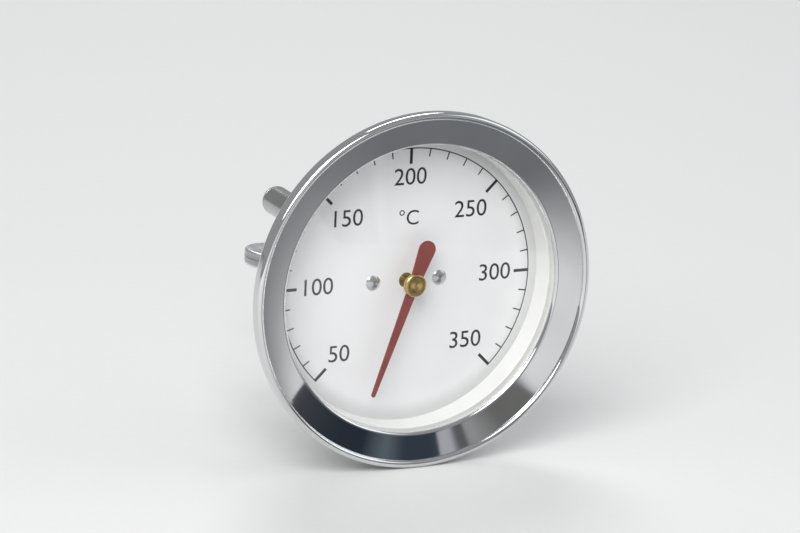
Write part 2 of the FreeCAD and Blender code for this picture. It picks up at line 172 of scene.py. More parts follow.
def bowed(start: Vector, end: Vector, bend: float, steps: int) -> list[Vector]:
    """Points between two corners joined by an arc of at most half a turn.

    Args:
        start: first corner.
        end: last corner.
        bend: signed radius, as in Corner.
        steps: number of chords.

    Returns:
        The points between the corners, without them.
    """
    chord = end - start
    half = chord.length / 2
    left = Vector((-chord.y, chord.x)).normalized() * math.copysign(1, bend)
    centre = (start + end) / 2 + left * math.sqrt(max(bend**2 - half**2, 0))
    sweep = math.copysign(2 * math.asin(min(half / abs(bend), 1)), bend)
    return swept(centre, start - centre, sweep, steps)[1:-1]


def trace(corners: Sequence[Corner], steps: int = 6) -> list[Vector]:
    """Turn corners to the points of a closed outline.

    Args:
        corners: the corners in order.
        steps: number of chords in each rounding, and half of those in each bend.

    Returns:
        The points, the last of which joins the first.
    """
    points = []
    for index, corner in enumerate(corners):
        here = Vector(corner[:2])
        before, after = Vector(corners[index - 1][:2]), Vector(corners[(index + 1) % len(corners)][:2])
        points += eased(before, here, after, corner.ease, steps) if corner.ease else [here]
        if corner.bend:
            points += bowed(here, after, corner.bend, 2 * steps)
    return points


# ---------------------------------------------------------------- meshes


def mesh_of(name: str, vertices: Sequence[Sequence[float]], faces: Sequence[Sequence[int]]) -> Mesh:
    """Make a mesh from millimetres, with doubled points joined and every face turned outwards.

    Args:
        name: the mesh's name.
        vertices: places in millimetres.
        faces: the vertices of each face.

    Returns:
        The mesh, in metres.
    """
    mesh = bpy.data.meshes.new(name)
    mesh.from_pydata([Vector(vertex) * MM for vertex in vertices], [], faces)
    work = bmesh.new()
    work.from_mesh(mesh)
    bmesh.ops.remove_doubles(work, verts=work.verts, dist=SAME_POINT * MM)
    bmesh.ops.recalc_face_normals(work, faces=work.faces)
    work.to_mesh(mesh)
    work.free()
    return mesh


def lathe(name: str, outline: Sequence[Vector], segments: int) -> Mesh:
    """Turn a closed outline round the thermometer's axis.

    Args:
        name: the mesh's name.
        outline: points across and up.
        segments: facets round the axis.

    Returns:
        The mesh.
    """
    vertices, rows, faces = [], [], []
    for point in outline:
        count = segments if point.x > ON_AXIS else 1
        rows.append(range(len(vertices), len(vertices) + count))
        for step in range(count):
            angle = FULL_TURN * step / segments
            vertices.append((point.x * math.sin(angle), -point.y, point.x * math.cos(angle)))
    for row, following in zip(rows, rows[1:] + rows[:1]):
        if len(row) == len(following) == 1:
            continue
        for step in range(segments):
            ahead = (step + 1) % segments
            ring = [row[step % len(row)], row[ahead % len(row)]]
            ring += [following[ahead % len(following)], following[step % len(following)]]
            faces.append(list(dict.fromkeys(ring)))
    return mesh_of(name, vertices, faces)


def prism(name: str, outline: Sequence[Vector], back: float, front: float) -> Mesh:
    """Make a plate whose outline is drawn across X and up Z.

    Args:
        name: the mesh's name.
        outline: points across and up.
        back: how far its back lies in front of the panel's face.
        front: the same for its front.

    Returns:
        The mesh.
    """
    count = len(outline)
    vertices = [(point.x, -height, point.y) for height in (back, front) for point in outline]
    sides = [(i, (i + 1) % count, count + (i + 1) % count, count + i) for i in range(count)]
    return mesh_of(name, vertices, [tuple(range(count)), tuple(range(count, 2 * count)), *sides])


def joined(name: str, meshes: Sequence[Mesh]) -> Mesh:
    """Put several meshes in one.

    Args:
        name: the new mesh's name.
        meshes: the meshes.

    Returns:
        The new mesh.
    """
    work = bmesh.new()
    for mesh in meshes:
        work.from_mesh(mesh)
    made = bpy.data.meshes.new(name)
    work.to_mesh(made)
    work.free()
    return made


def evaluated(data: bpy.types.ID, *steps: tuple[str, dict[str, Any]]) -> Mesh:
    """Take the mesh of a mesh or a lettering once modifiers have worked on it.

    Args:
        data: the mesh or lettering to start from.
        steps: each modifier's type and settings.

    Returns:
        A new mesh with the modifiers applied.
    """
    holder = bpy.data.objects.new(data.name, data)
    bpy.context.collection.objects.link(holder)
    for kind, settings in steps:
        step = holder.modifiers.new(kind, kind)
        for key, value in settings.items():
            setattr(step, key, value)
    made = bpy.data.meshes.new_from_object(holder.evaluated_get(bpy.context.evaluated_depsgraph_get()))
    bpy.data.objects.remove(holder)
    return made


def carved(mesh: Mesh, tool: Mesh) -> Mesh:
    """Cut the space of one mesh out of another.

    Args:
        mesh: the closed mesh that is cut.
        tool: the closed mesh that cuts.

    Returns:
        A new mesh.
    """
    cutter = bpy.data.objects.new(tool.name, tool)
    bpy.context.collection.objects.link(cutter)
    made = evaluated(mesh, ("BOOLEAN", {"object": cutter, "operation": "DIFFERENCE", "solver": "MANIFOLD"}))
    bpy.data.objects.remove(cutter)
    return made


def mark_wear(mesh: Mesh, rounds: int = 4, least_area: float = 0.001) -> None:
    """Store on each point how sharply the surface bulges there, which is where handling rubs it.

    Args:
        mesh: the mesh, which gains the attribute "bulge", its mean curvature per millimetre.
        rounds: how often neighbours are averaged.
        least_area: smaller faces round a point count as this area, in square millimetres.
    """
    work = bmesh.new()
    work.from_mesh(mesh)
    bulges = []
    for vertex in work.verts:
        # A quarter of the bend along the edges, over the third of the faces round a point that is its own.
        bend = sum(edge.calc_face_angle_signed(0.0) * edge.calc_length() for edge in vertex.link_edges) / 4
        area = max(sum(face.calc_area() for face in vertex.link_faces), least_area * MM**2) / 3
        bulges.append(MM * bend / area)
    around = [[edge.other_vert(vertex).index for edge in vertex.link_edges] for vertex in work.verts]
    for _ in range(rounds):
        bulges = [(here + sum(bulges[k] for k in near)) / (1 + len(near))
                  for here, near in zip(bulges, around)]
    work.free()
    mesh.attributes.new("bulge", "FLOAT", "POINT").data.foreach_set("value", bulges)


# ---------------------------------------------------------------- nodes of the finishes


NOISE_LOW, NOISE_HIGH = 0.3, 0.7  # nearly all values of a noise lie between these
LINE_LENGTH = 60  # a line along the axis is this many times as long as it lies from the next
MIX_SHARE, MIX_FIRST, MIX_SECOND, MIXED = 0, 6, 7, 2  # the sockets of a Mix node that mixes colours


def linear(colour: str) -> tuple[float, float, float, float]:
    """Turn an sRGB colour to linear light.

    Args:
        colour: red, green and blue as hex.

    Returns:
        Red, green, blue and alpha.
    """
    parts = [int(colour[start:start + 2], 16) / 255 for start in (1, 3, 5)]
    red, green, blue = (
        part / 12.92 if part <= 0.04045 else ((part + 0.055) / 1.055) ** 2.4 for part in parts
    )
    return red, green, blue, 1.0


def add_node(
    tree: NodeTree,
    kind: str,
    settings: dict[str, Any] | None = None,
    inputs: dict[str | int, Any] | None = None,
) -> Node:
    """Add a node with its settings and what its sockets hold.

    Args:
        tree: the node tree.
        kind: the node type's name, without its ShaderNode prefix.
        settings: values of the node's own properties.
        inputs: for a socket's name or number, an output that is linked to it or a plain value.

    Returns:
        The node.
    """
    node = tree.nodes.new(f"ShaderNode{kind}")
    for key, value in (settings or {}).items():
        setattr(node, key, value)
    for key, value in (inputs or {}).items():
        if isinstance(value, NodeSocket):
            tree.links.new(value, node.inputs[key])
        else:
            node.inputs[key].default_value = value
    return node


class Lay(Enum):
    """The way that the marks of making run over a surface."""

    ROUND = "in rings round the axis"
    ALONG = "in lines along the axis"
    GRAINED = "the same in all directions"


def off_axis(tree: NodeTree, place: NodeSocket) -> tuple[NodeSocket, NodeSocket]:
    """Take a place's offset from the axis.

    Args:
        tree: the node tree.
        place: the place on the surface.

    Returns:
        The offset and its length.
    """
    flat = add_node(tree, "VectorMath", {"operation": "MULTIPLY"}, {0: place, 1: (1, 0, 1)}).outputs[0]
    return flat, add_node(tree, "VectorMath", {"operation": "LENGTH"}, {0: flat}).outputs["Value"]


def marks(tree: NodeTree, lay: Lay, spacing: float, detail: float = 3.0) -> NodeSocket:
    """Noise that follows the marks of making.

    Args:
        tree: the node tree.
        lay: the way that the marks run.
        spacing: distance between marks, in millimetres.
        detail: octaves of finer marks.

    Returns:
        A value from 0 to 1.
    """
    place = add_node(tree, "TexCoord").outputs["Object"]
    pitch = 1 / (spacing * MM)
    if lay is not Lay.ROUND:
        stretch = (pitch, pitch / LINE_LENGTH, pitch) if lay is Lay.ALONG else (pitch, pitch, pitch)
        where = add_node(tree, "VectorMath", {"operation": "MULTIPLY"}, {0: place, 1: stretch}).outputs[0]
        noise = add_node(tree, "TexNoise", inputs={"Vector": where, "Scale": 1.0, "Detail": detail})
        return noise.outputs["Fac"]
    flat, radius = off_axis(tree, place)
    around = add_node(tree, "VectorMath", {"operation": "NORMALIZE"}, {0: flat}).outputs[0]
    height = add_node(tree, "SeparateXYZ", inputs={0: place}).outputs["Y"]
    reach = add_node(tree, "Math", {"operation": "ADD"}, {0: radius, 1: height}).outputs[0]
    lines = add_node(tree, "Math", {"operation": "MULTIPLY"}, {0: reach, 1: pitch}).outputs[0]
    noise = add_node(tree, "TexNoise", {"noise_dimensions": "4D"},
                     {"Vector": around, "W": lines, "Scale": 1.0, "Detail": detail})
    return noise.outputs["Fac"]


def faded(
    tree: NodeTree,
    value: NodeSocket,
    start: float,
    end: float,
    first: Any,
    second: Any,
    most: float = 1.0,
    smooth: bool = True,
) -> NodeSocket:
    """Let one colour go over to another while a value climbs.

    Args:
        tree: the node tree.
        value: the value.
        start: where the second colour starts to show.
        end: where its share is largest.
        first: the colour below the start.
        second: the colour above the end.
        most: the largest share of the second colour.
        smooth: whether the share climbs gently at both ends.

    Returns:
        The colour.
    """
    share = add_node(tree, "MapRange", {"interpolation_type": "SMOOTHSTEP" if smooth else "LINEAR"}, {
        "Value": value,
        "From Min": start,
        "From Max": end,
        "To Max": most,
    }).outputs["Result"]
    mix = {MIX_SHARE: share, MIX_FIRST: first, MIX_SECOND: second}
    return add_node(tree, "Mix", {"data_type": "RGBA"}, mix).outputs[MIXED]


def mottled(
    tree: NodeTree, first: str, second: str, spacing: float, detail: float, most: float = 1.0
) -> NodeSocket:
    """Let a colour drift towards a second one in soft patches.

    Args:
        tree: the node tree.
        first: the colour.
        second: the colour of the patches.
        spacing: size of the patches, in millimetres.
        detail: octaves of finer patches.
        most: the largest share of the second colour.

    Returns:
        The mottled colour.
    """
    noise = marks(tree, Lay.GRAINED, spacing, detail)
    return faded(tree, noise, NOISE_LOW, NOISE_HIGH, linear(first), linear(second), most, smooth=False)


def skin(
    tree: NodeTree, grain: NodeSocket, depth: float, roughness: tuple[float, float], inputs: dict[str, Any]
) -> NodeSocket:
    """Build the shader of a surface whose grain stands out of it and changes its roughness.

    Args:
        tree: the node tree.
        grain: a noise from 0 to 1.
        depth: how deep the grain is, in millimetres.
        roughness: the least and the most roughness.
        inputs: what the shader's other sockets hold. A normal among them lies under the grain.

    Returns:
        The shader.
    """
    bump = {"Height": grain, "Distance": depth * MM}
    if "Normal" in inputs:
        bump["Normal"] = inputs["Normal"]
    rough = {"Value": grain, "From Min": NOISE_LOW, "From Max": NOISE_HIGH}
    rough |= {"To Min": roughness[0], "To Max": roughness[1]}
    own = {
        "Normal": add_node(tree, "Bump", inputs=bump).outputs["Normal"],
        "Roughness": add_node(tree, "MapRange", inputs=rough).outputs["Result"],
    }
    return add_node(tree, "BsdfPrincipled", inputs=inputs | own).outputs[0]


# ---------------------------------------------------------------- finishes


@dataclass(frozen=True)
class Finish:
    """What a surface is made of and how it was worked."""

    name: str

    @cache
    def material(self) -> Material:
        """Give the material, made on first use.

        Returns:
            The material.
        """
        made = bpy.data.materials.new(self.name)
        made.use_nodes = True
        made.node_tree.nodes.clear()
        add_node(made.node_tree, "OutputMaterial", inputs={"Surface": self.surface(made.node_tree)})
        return made

    def surface(self, tree: NodeTree) -> NodeSocket:
        """Build the shader in a node tree."""
        raise NotImplementedError


@dataclass(frozen=True)
class Metal(Finish):
    """Bare or plated metal with the marks that making it left.

    Spacings, depths and widths are in millimetres, and curvatures are per millimetre.
    """

    colour: str
    dull: str
    roughness: float
    variation: float
    lay: Lay
    line_spacing: float
    line_depth: float
    wave_spacing: float = 5.0
    wave_depth: float = 0.0
    patch_spread: float = 1.7  # size of the dull patches over that of the waves
    brushed: float = 0.0
    edge: str | None = None
    worn_from: float = 0.12  # curvature at which rubbing starts to show
    worn_fully: float = 0.6  # curvature at which the metal is rubbed bright
    parting_line: float = 0.0
    parting_width: float = 0.3

    def tone(self, tree: NodeTree) -> NodeSocket:
        """Mottle the metal, and brighten the edges where it is rubbed.

        Args:
            tree: the node tree.

        Returns:
            The colour.
        """
        patches = self.wave_spacing * self.patch_spread
        colour = mottled(tree, self.colour, self.dull, patches, detail=4.0)
        if not self.edge:
            return colour
        bulge = add_node(tree, "Attribute", {"attribute_name": "bulge"}).outputs["Fac"]
        return faded(tree, bulge, self.worn_from, self.worn_fully, colour, linear(self.edge))

    def form(self, tree: NodeTree) -> NodeSocket:
        """Bend the surface by the sheet's waves, and by the ridge where the halves of a mould met.

        Args:
            tree: the node tree.

        Returns:
            The normal.
        """
        waves = {
            "Height": marks(tree, Lay.GRAINED, self.wave_spacing, detail=1.0),
            "Distance": self.wave_depth * MM,
        }
        normal = add_node(tree, "Bump", inputs=waves).outputs["Normal"]
        if not self.parting_line:
            return normal
        height = add_node(tree, "SeparateXYZ", inputs={0: add_node(tree, "TexCoord").outputs["Object"]})
        away = add_node(tree, "Math", {"operation": "ABSOLUTE"}, {0: height.outputs["Z"]}).outputs[0]
        ridge = add_node(tree, "MapRange", {"interpolation_type": "SMOOTHSTEP"}, {
            "Value": away,
            "From Max": self.parting_width * MM,
            "To Min": 1.0,
            "To Max": 0.0,
        }).outputs["Result"]
        bump = {"Height": ridge, "Distance": self.parting_line * MM, "Normal": normal}
        return add_node(tree, "Bump", inputs=bump).outputs["Normal"]

    def surface(self, tree: NodeTree) -> NodeSocket:
        """Build the shader: lines of the tool, slow waves of the sheet and patches that are a little duller.

        Args:
            tree: the node tree.

        Returns:
            The shader.
        """
        lines = marks(tree, self.lay, self.line_spacing)
        inputs = {"Base Color": self.tone(tree), "Metallic": 1.0, "Normal": self.form(tree)}
        if self.brushed:
            tangent = add_node(tree, "Tangent", {"direction_type": "RADIAL", "axis": "Y"}).outputs[0]
            # Lines along the axis lie a quarter turn from rings round it.
            turns = 0.25 if self.lay is Lay.ALONG else 0.0
            inputs |= {"Anisotropic": self.brushed, "Anisotropic Rotation": turns, "Tangent": tangent}
        roughness = (self.roughness - self.variation, self.roughness + self.variation)
        return skin(tree, lines, self.line_depth, roughness, inputs)


@dataclass(frozen=True)
class Coating(Finish):
    """Paint, enamel, ink or paper. Spacings and depths are in millimetres."""

    colour: str
    shade: str | None
    roughness: float
    peel_spacing: float
    peel_depth: float
    gloss: float = 0.0
    gloss_roughness: float = 0.08
    variation: float = 0.15  # share by which the roughness changes
    drift: float = 14.0  # size of the changes of tone over that of the orange peel

    def tone(self, tree: NodeTree) -> Any:
        """Let the film's colour drift slowly, where it has a second one.

        Args:
            tree: the node tree.

        Returns:
            The colour.
        """
        if not self.shade:
            return linear(self.colour)
        return mottled(tree, self.colour, self.shade, self.peel_spacing * self.drift, detail=3.0)

    def surface(self, tree: NodeTree) -> NodeSocket:
        """Build the shader: a sprayed film's fine orange peel, slow changes of its tone and a clear top.

        Args:
            tree: the node tree.

        Returns:
            The shader.
        """
        peel = marks(tree, Lay.GRAINED, self.peel_spacing, detail=2.0)
        roughness = (self.roughness * (1 - self.variation), self.roughness * (1 + self.variation))
        inputs = {
            "Base Color": self.tone(tree),
            "Coat Weight": self.gloss,
            "Coat Roughness": self.gloss_roughness,
        }
        return skin(tree, peel, self.peel_depth, roughness, inputs)


@dataclass(frozen=True)
class RimmedCoating(Coating):
    """Coating of a round plate with painted shade: it greys in a soft ring towards its edge, where the wall
    beside it would shade it. Radii are in millimetres.
    """

    # rim is the colour of the painted shade at the plate's edge; the radii say where it starts and where it
    # is fullest.
    rim: str = "#CFD0D0"
    clean_radius: float = 24.0
    grey_radius: float = 27.6

    def tone(self, tree: NodeTree) -> NodeSocket:
        """Paint shade on the film's colour: grey it towards the edge.

        Args:
            tree: the node tree.

        Returns:
            The colour.
        """
        _, radius = off_axis(tree, add_node(tree, "TexCoord").outputs["Object"])
        unshaded, grey = self.clean_radius * MM, self.grey_radius * MM
        # Painted shade: the colour greys towards the edge, where the spacer's wall would shade the dial.
        return faded(tree, radius, unshaded, grey, super().tone(tree), linear(self.rim))


@dataclass(frozen=True)
class Rubber(Finish):
    """Moulded silicone: a matt skin that takes the mould's fine grain. Sizes are in millimetres."""

    colour: str
    bloom: str
    grain: float
    grain_depth: float = 0.01
    bloom_spread: float = 20.0  # size of the patches of bloom over that of the grain
    bloom_share: float = 0.35
    roughness: tuple[float, float] = (0.5, 0.68)
    scatter: float = 0.1
    scatter_reach: float = 0.4
    refraction: float = 1.41

    def surface(self, tree: NodeTree) -> NodeSocket:
        """Build the shader: grain of the mould and a pale bloom in patches.

        Args:
            tree: the node tree.

        Returns:
            The shader.
        """
        grain = marks(tree, Lay.GRAINED, self.grain, detail=4.0)
        patches = self.grain * self.bloom_spread
        return skin(tree, grain, self.grain_depth, self.roughness, {
            "Base Color": mottled(tree, self.colour, self.bloom, patches, detail=3.0, most=self.bloom_share),
            "Subsurface Weight": self.scatter,
            "Subsurface Scale": self.scatter_reach * MM,
            "IOR": self.refraction,
        })


@dataclass(frozen=True)
class ClearGlass(Finish):
    """Float glass with a ground edge: clear and flat on both faces, frosted where the wheel cut it."""

    tint: str
    ground_from: float  # radius at which the ground edge starts, in millimetres
    ground_roughness: float = 0.45
    ground_fade: float = 0.05  # width over which the frost sets in, in millimetres
    refraction: float = 1.52

    def surface(self, tree: NodeTree) -> NodeSocket:
        """Build the shader. Lamps and soft light pass straight through, and the eye sees the pane refract.

        Args:
            tree: the node tree.

        Returns:
            The shader.
        """
        _, radius = off_axis(tree, add_node(tree, "TexCoord").outputs["Object"])
        frost = add_node(tree, "MapRange", inputs={
            "Value": radius,
            "From Min": (self.ground_from - self.ground_fade) * MM,
            "From Max": self.ground_from * MM,
            "To Max": self.ground_roughness,
        }).outputs["Result"]
        glass = add_node(tree, "BsdfPrincipled", inputs={
            "Base Color": linear(self.tint),
            "Transmission Weight": 1.0,
            "Roughness": frost,
            "IOR": self.refraction,
        }).outputs[0]
        clear = add_node(tree, "BsdfTransparent", inputs={"Color": linear(self.tint)}).outputs[0]
        path = add_node(tree, "LightPath")
        soft = add_node(tree, "MixShader", inputs={0: path.outputs["Is Diffuse Ray"], 1: glass, 2: clear})
        lamps = {0: path.outputs["Is Shadow Ray"], 1: soft.outputs[0], 2: clear}
        return add_node(tree, "MixShader", inputs=lamps).outputs[0]


@dataclass(frozen=True)
class PaintedGlow(Finish):
    """A studio card that glows in the tones stored on its points as the attribute "tone"."""

    def surface(self, tree: NodeTree) -> NodeSocket:
        """Build the shader in a node tree."""
        tone = add_node(tree, "Attribute", {"attribute_name": "tone"}).outputs["Color"]
        return add_node(tree, "Emission", inputs={"Color": tone}).outputs[0]


@dataclass(frozen=True)
class FadingGlow(Finish):
    """A studio card of one tone that fades out towards its edges. Its sizes are in millimetres."""

    colour: str
    width: float
    length: float
    fade: float

    def surface(self, tree: NodeTree) -> NodeSocket:
        """Build the shader.

        Args:
            tree: the node tree.

        Returns:
            The shader.
        """
        place = add_node(tree, "SeparateXYZ", inputs={0: add_node(tree, "TexCoord").outputs["Object"]})
        shares = []
        for axis, size in (("X", self.width), ("Y", self.length)):
            away = add_node(tree, "Math", {"operation": "ABSOLUTE"}, {0: place.outputs[axis]}).outputs[0]
            shares.append(add_node(tree, "MapRange", {"interpolation_type": "SMOOTHSTEP"}, {
                "Value": away,
                "From Min": (size / 2 - self.fade) * MM,
                "From Max": size / 2 * MM,
            }).outputs["Result"])
        share = add_node(tree, "Math", {"operation": "MAXIMUM"}, {0: shares[0], 1: shares[1]}).outputs[0]
        glow = add_node(tree, "Emission", inputs={"Color": linear(self.colour)}).outputs[0]
        clear = add_node(tree, "BsdfTransparent").outputs[0]
        return add_node(tree, "MixShader", inputs={0: share, 1: glow, 2: clear}).outputs[0]


# Stainless steel, spun and mirror polished: clear reflections with the faint rings of the polishing mop and
# a slow ripple of the sheet. The real rings are too fine to show, so they are drawn at 0.12 mm.
POLISHED_STEEL = Metal(
    "polished_stainless", colour="#DFE0E0", dull="#D6D7D8", roughness=0.032, variation=0.012,
    lay=Lay.ROUND, line_spacing=0.12, line_depth=0.00012, wave_spacing=7.0, wave_depth=0.002,
)

# Stainless steel, deep drawn: satin, with rings where the die slid over the sheet and a soft streak of light
# across them. The rings are drawn at 0.22 mm so that they show.
DRAWN_STEEL = Metal(
    "drawn_stainless", colour="#B9B9B7", dull="#A9A9A8", roughness=0.27, variation=0.05,
    lay=Lay.ROUND, line_spacing=0.22, line_depth=0.0012, wave_spacing=9.0, wave_depth=0.004, brushed=0.45,
)

# Stainless steel tube, drawn and bright annealed: fine lines run along it. They are drawn at 0.1 mm so that
# they show.
TUBE_STEEL = Metal(
    "drawn_tube", colour="#BDBCBA", dull="#B2B1AF", roughness=0.2, variation=0.05,
    lay=Lay.ALONG, line_spacing=0.1, line_depth=0.0008, wave_spacing=6.0, wave_depth=0.0006, brushed=0.4,
)

# Stainless bar, turned: rings of the tool's feed, drawn at 0.15 mm so that they show.
TURNED_STEEL = Metal(
    "turned_stainless", colour="#BFBEBC", dull="#AFAEAC", roughness=0.22, variation=0.06,
    lay=Lay.ROUND, line_spacing=0.15, line_depth=0.002, wave_depth=0.001, brushed=0.4,
)

# Bright zinc plate on pressed steel: a bluish bloom over the grain of the sheet.
ZINC_PLATE = Metal(
    "zinc_plated_steel", colour="#C3C7CB", dull="#A9AEB5", roughness=0.24, variation=0.08,
    lay=Lay.GRAINED, line_spacing=0.25, line_depth=0.002, wave_spacing=2.5, wave_depth=0.003,
)

# Zinc casting, tumbled and plated: a pebbled skin, brighter where tumbling rubbed the edges, and the line
# where the halves of the mould met.
CAST_ZINC = Metal(
    "tumbled_zinc", colour="#BCBEC0", dull="#A6A8AB", roughness=0.33, variation=0.07,
    lay=Lay.GRAINED, line_spacing=0.45, line_depth=0.0045, wave_spacing=3.0, wave_depth=0.012,
    edge="#DDDFE0", parting_line=0.08,
)

# Aluminium rivet, headed by a cup tool: bright, with the fine grain that the tool pressed in.
RIVET_ALUMINIUM = Metal(
    "headed_aluminium", colour="#D6D7D8", dull="#C6C7C9", roughness=0.2, variation=0.06,
    lay=Lay.GRAINED, line_spacing=0.2, line_depth=0.002,
)

# Brass bar, turned: warm, with the rings of the tool.
TURNED_BRASS = Metal(
    "turned_brass", colour="#D9BC7C", dull="#C2A25F", roughness=0.2, variation=0.06,
    lay=Lay.ROUND, line_spacing=0.12, line_depth=0.0015, brushed=0.4,
)

# Rolled bimetal strip: grey, with faint straw colours from its heat treatment.
BIMETAL_STRIP = Metal(
    "rolled_bimetal", colour="#B5AD9E", dull="#9C8F7A", roughness=0.3, variation=0.06,
    lay=Lay.ALONG, line_spacing=0.15, line_depth=0.001,
)

# Stove enamel on the spacer: white with a satin gloss and a slight orange peel.
WHITE_ENAMEL = Coating(
    "stoved_enamel", colour="#F1F1EE", shade="#ECECE9", roughness=0.32,
    peel_spacing=0.9, peel_depth=0.006, gloss=0.25,
)

# White lacquer on aluminium sheet: a touch cool, flatter than the enamel, with painted shade in a soft grey
# ring at the edge.
DIAL_LACQUER = RimmedCoating(
    "white_lacquer", colour="#F3F3F3", shade="#EEEFF0", roughness=0.42,
    peel_spacing=0.6, peel_depth=0.0015, gloss=0.12,
)

# Screen-printed ink: near black, with a dry satin surface.
PRINTED_INK = Coating(
    "screen_ink", colour="#1B1C1F", shade="#26272B", roughness=0.5, peel_spacing=0.25, peel_depth=0.004,
)

# Red lacquer on the pointer: a brick red with a thin clear gloss.
POINTER_LACQUER = Coating(
    "red_lacquer", colour="#8C4038", shade="#823830", roughness=0.36,
    peel_spacing=0.35, peel_depth=0.002, gloss=0.2,
)

# Moulded silicone of the seals: milky white, matt and slightly translucent.
SILICONE = Rubber("moulded_silicone", colour="#DEDCD6", bloom="#EAE8E3", grain=0.2)

# Matt background paper: pale grey, with the tooth of its fibres.
STUDIO_PAPER = Coating(
    "studio_paper", colour="#DCDCDB", shade=None, roughness=0.75, peel_spacing=1.5, peel_depth=0.002,
)


# ---------------------------------------------------------------- fitting pieces to the frame


def fit(name: str, mesh: Mesh, finish: Finish, node: str, stands_in: bool = True) -> None:
    """Put a piece in the scene on the body of a CAD node.

    Args:
        name: the piece's name.
        mesh: its mesh, at rest in the frame.
        finish: its finish.
        node: the CAD node that it belongs to.
        stands_in: whether the node is hidden because this piece shows it.
    """
    piece = bpy.data.objects.new(name, mesh)
    bpy.context.collection.objects.link(piece)
    mesh.materials.clear()
    mesh.materials.append(finish.material())
    mesh.shade_smooth()
    mesh.set_sharp_from_angle(angle=SHARP_EDGE)
    piece.modifiers.new("even_shading", "WEIGHTED_NORMAL").keep_sharp = True
    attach(piece, BODY_OF[node])
    if stands_in:
        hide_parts(node)
    LOG.info("%s: %d faces, %s, on %s", name, len(mesh.polygons), finish.name, BODY_OF[node])


def refinish(node: str, finish: Finish) -> None:
    """Give a CAD node that keeps its own shape a new finish.

    Args:
        node: the CAD node.
        finish: its finish.
    """
    for slot in frame["nodes"][node].material_slots:
        slot.link = "OBJECT"
        slot.material = finish.material()
    LOG.info("%s: %s", node, finish.name)


def fit_turned(
    name: str, outline: Sequence[Corner], finish: Finish, node: str, steps: int = 6, segments: int = 192
) -> None:
    """Turn a piece round the thermometer's axis and put it in the scene.

    Args:
        name: the piece's name.
        outline: the corners of its section.
        finish: its finish.
        node: the CAD node that it stands in for.
        steps: number of chords in each rounding.
        segments: facets round the axis.
    """
    fit(name, lathe(name, trace(outline, steps), segments), finish, node)


def measured(node: str) -> Any:
    """Make a dataclass field that holds a CAD node's extent."""
    return field(default_factory=lambda: extent(node))


# ---------------------------------------------------------------- sub-assemblies


@dataclass
class Bezel:
    """Steel ring that grips the glass: rolled bead, dished band, inner lip, skirt and crimped hook."""

    whole: Extent = measured("bezel_ring")
    bead: float = 0.73
    sheet: float = 0.6
    band_width: float = 4.5
    band_drop: float = 1.0
    lip_roll: float = 0.7
    skirt_corner: float = 1.0
    hook_reach: float = 1.7
    edge: float = 0.12

    def outline(self) -> list[Corner]:
        """Draw the ring's section from the rim inwards.

        Returns:
            The section's corners.
        """
        radius, rim = self.whole.radius, self.whole.front - self.bead
        slope = self.band_drop / self.band_width
        band_in = radius - 2 * self.bead - self.band_width
        foot = rim - self.band_drop
        lip_in = band_in - self.lip_roll
        wall = lip_in + self.sheet
        skirt_in = radius - self.sheet
        grip = self.whole.back + self.sheet
        under = foot - math.hypot(1, slope) * self.sheet - (band_in - wall) * slope
        return [
            Corner(radius - 2 * self.bead, rim, bend=-self.bead),
            Corner(radius, rim),
            Corner(radius, self.whole.back, ease=self.skirt_corner),
            Corner(skirt_in - self.hook_reach, self.whole.back, ease=self.edge),
            Corner(skirt_in - self.hook_reach, grip, ease=self.edge),
            Corner(skirt_in, grip, ease=self.edge),
            Corner(skirt_in, under + (skirt_in - wall) * slope, ease=self.sheet / 2),
            Corner(wall, under, ease=self.edge),
            Corner(wall, foot - self.lip_roll, ease=self.edge),
            Corner(lip_in, foot - self.lip_roll, bend=-self.lip_roll),
            Corner(band_in, foot),
        ]

    def build(self) -> None:
        """Spin the ring and polish it."""
        fit_turned("polished_bezel", self.outline(), POLISHED_STEEL, "bezel_ring", steps=7, segments=256)


@dataclass
class Glazing:
    """Flat lens and the two silicone seals that hold it."""

    lens: Extent = measured("glass_lens")
    front_seal: Extent = measured("front_gasket")
    seat_seal: Extent = measured("seat_gasket")
    tint: str = "#FDFDFD"
    chamfer: float = 0.3
    arris: float = 0.05
    seal_width: float = 1.5
    seal_ease: float = 0.1
    wedge: float = 1 / 3  # share of the front seal's thickness that it loses towards its inner edge

    def lens_outline(self) -> list[Corner]:
        """Draw half the lens: two flat faces and an edge ground to two chamfers.

        Returns:
            The section's corners.
        """
        radius, back, front = self.lens
        return [
            Corner(0, front),
            Corner(radius - self.chamfer, front, ease=self.arris),
            Corner(radius, front - self.chamfer, ease=self.arris),
            Corner(radius, back + self.chamfer, ease=self.arris),
            Corner(radius - self.chamfer, back, ease=self.arris),
            Corner(0, back),
        ]

    def seal_outline(self, seal: Extent, drop: float) -> list[Corner]:
        """Draw a seal whose front falls towards its inner edge.

        Args:
            seal: the seal's extent.
            drop: how far its front falls, in millimetres.

        Returns:
            The section's corners.
        """
        inner, ease = seal.radius - self.seal_width, self.seal_ease
        return [
            Corner(inner, seal.back, ease=ease),
            Corner(inner, seal.front - drop, ease=ease),
            Corner(seal.radius, seal.front, ease=ease),
            Corner(seal.radius, seal.back, ease=ease),
        ]

    def build(self) -> None:
        """Grind the lens and mould the seals."""
        # Float glass with a wheel-ground edge: clear to look through, with a frosted rim under the bezel.
        glass = ClearGlass("clear_float_glass", self.tint, ground_from=self.lens.radius - self.chamfer)
        fit_turned("lens", self.lens_outline(), glass, "glass_lens", steps=3)
        drop = (self.front_seal.front - self.front_seal.back) * self.wedge
        for name, seal, fall, node in (
            ("front_seal", self.front_seal, drop, "front_gasket"),
            ("seat_seal", self.seat_seal, 0.0, "seat_gasket"),
        ):
            fit_turned(name, self.seal_outline(seal, fall), SILICONE, node, steps=3, segments=160)


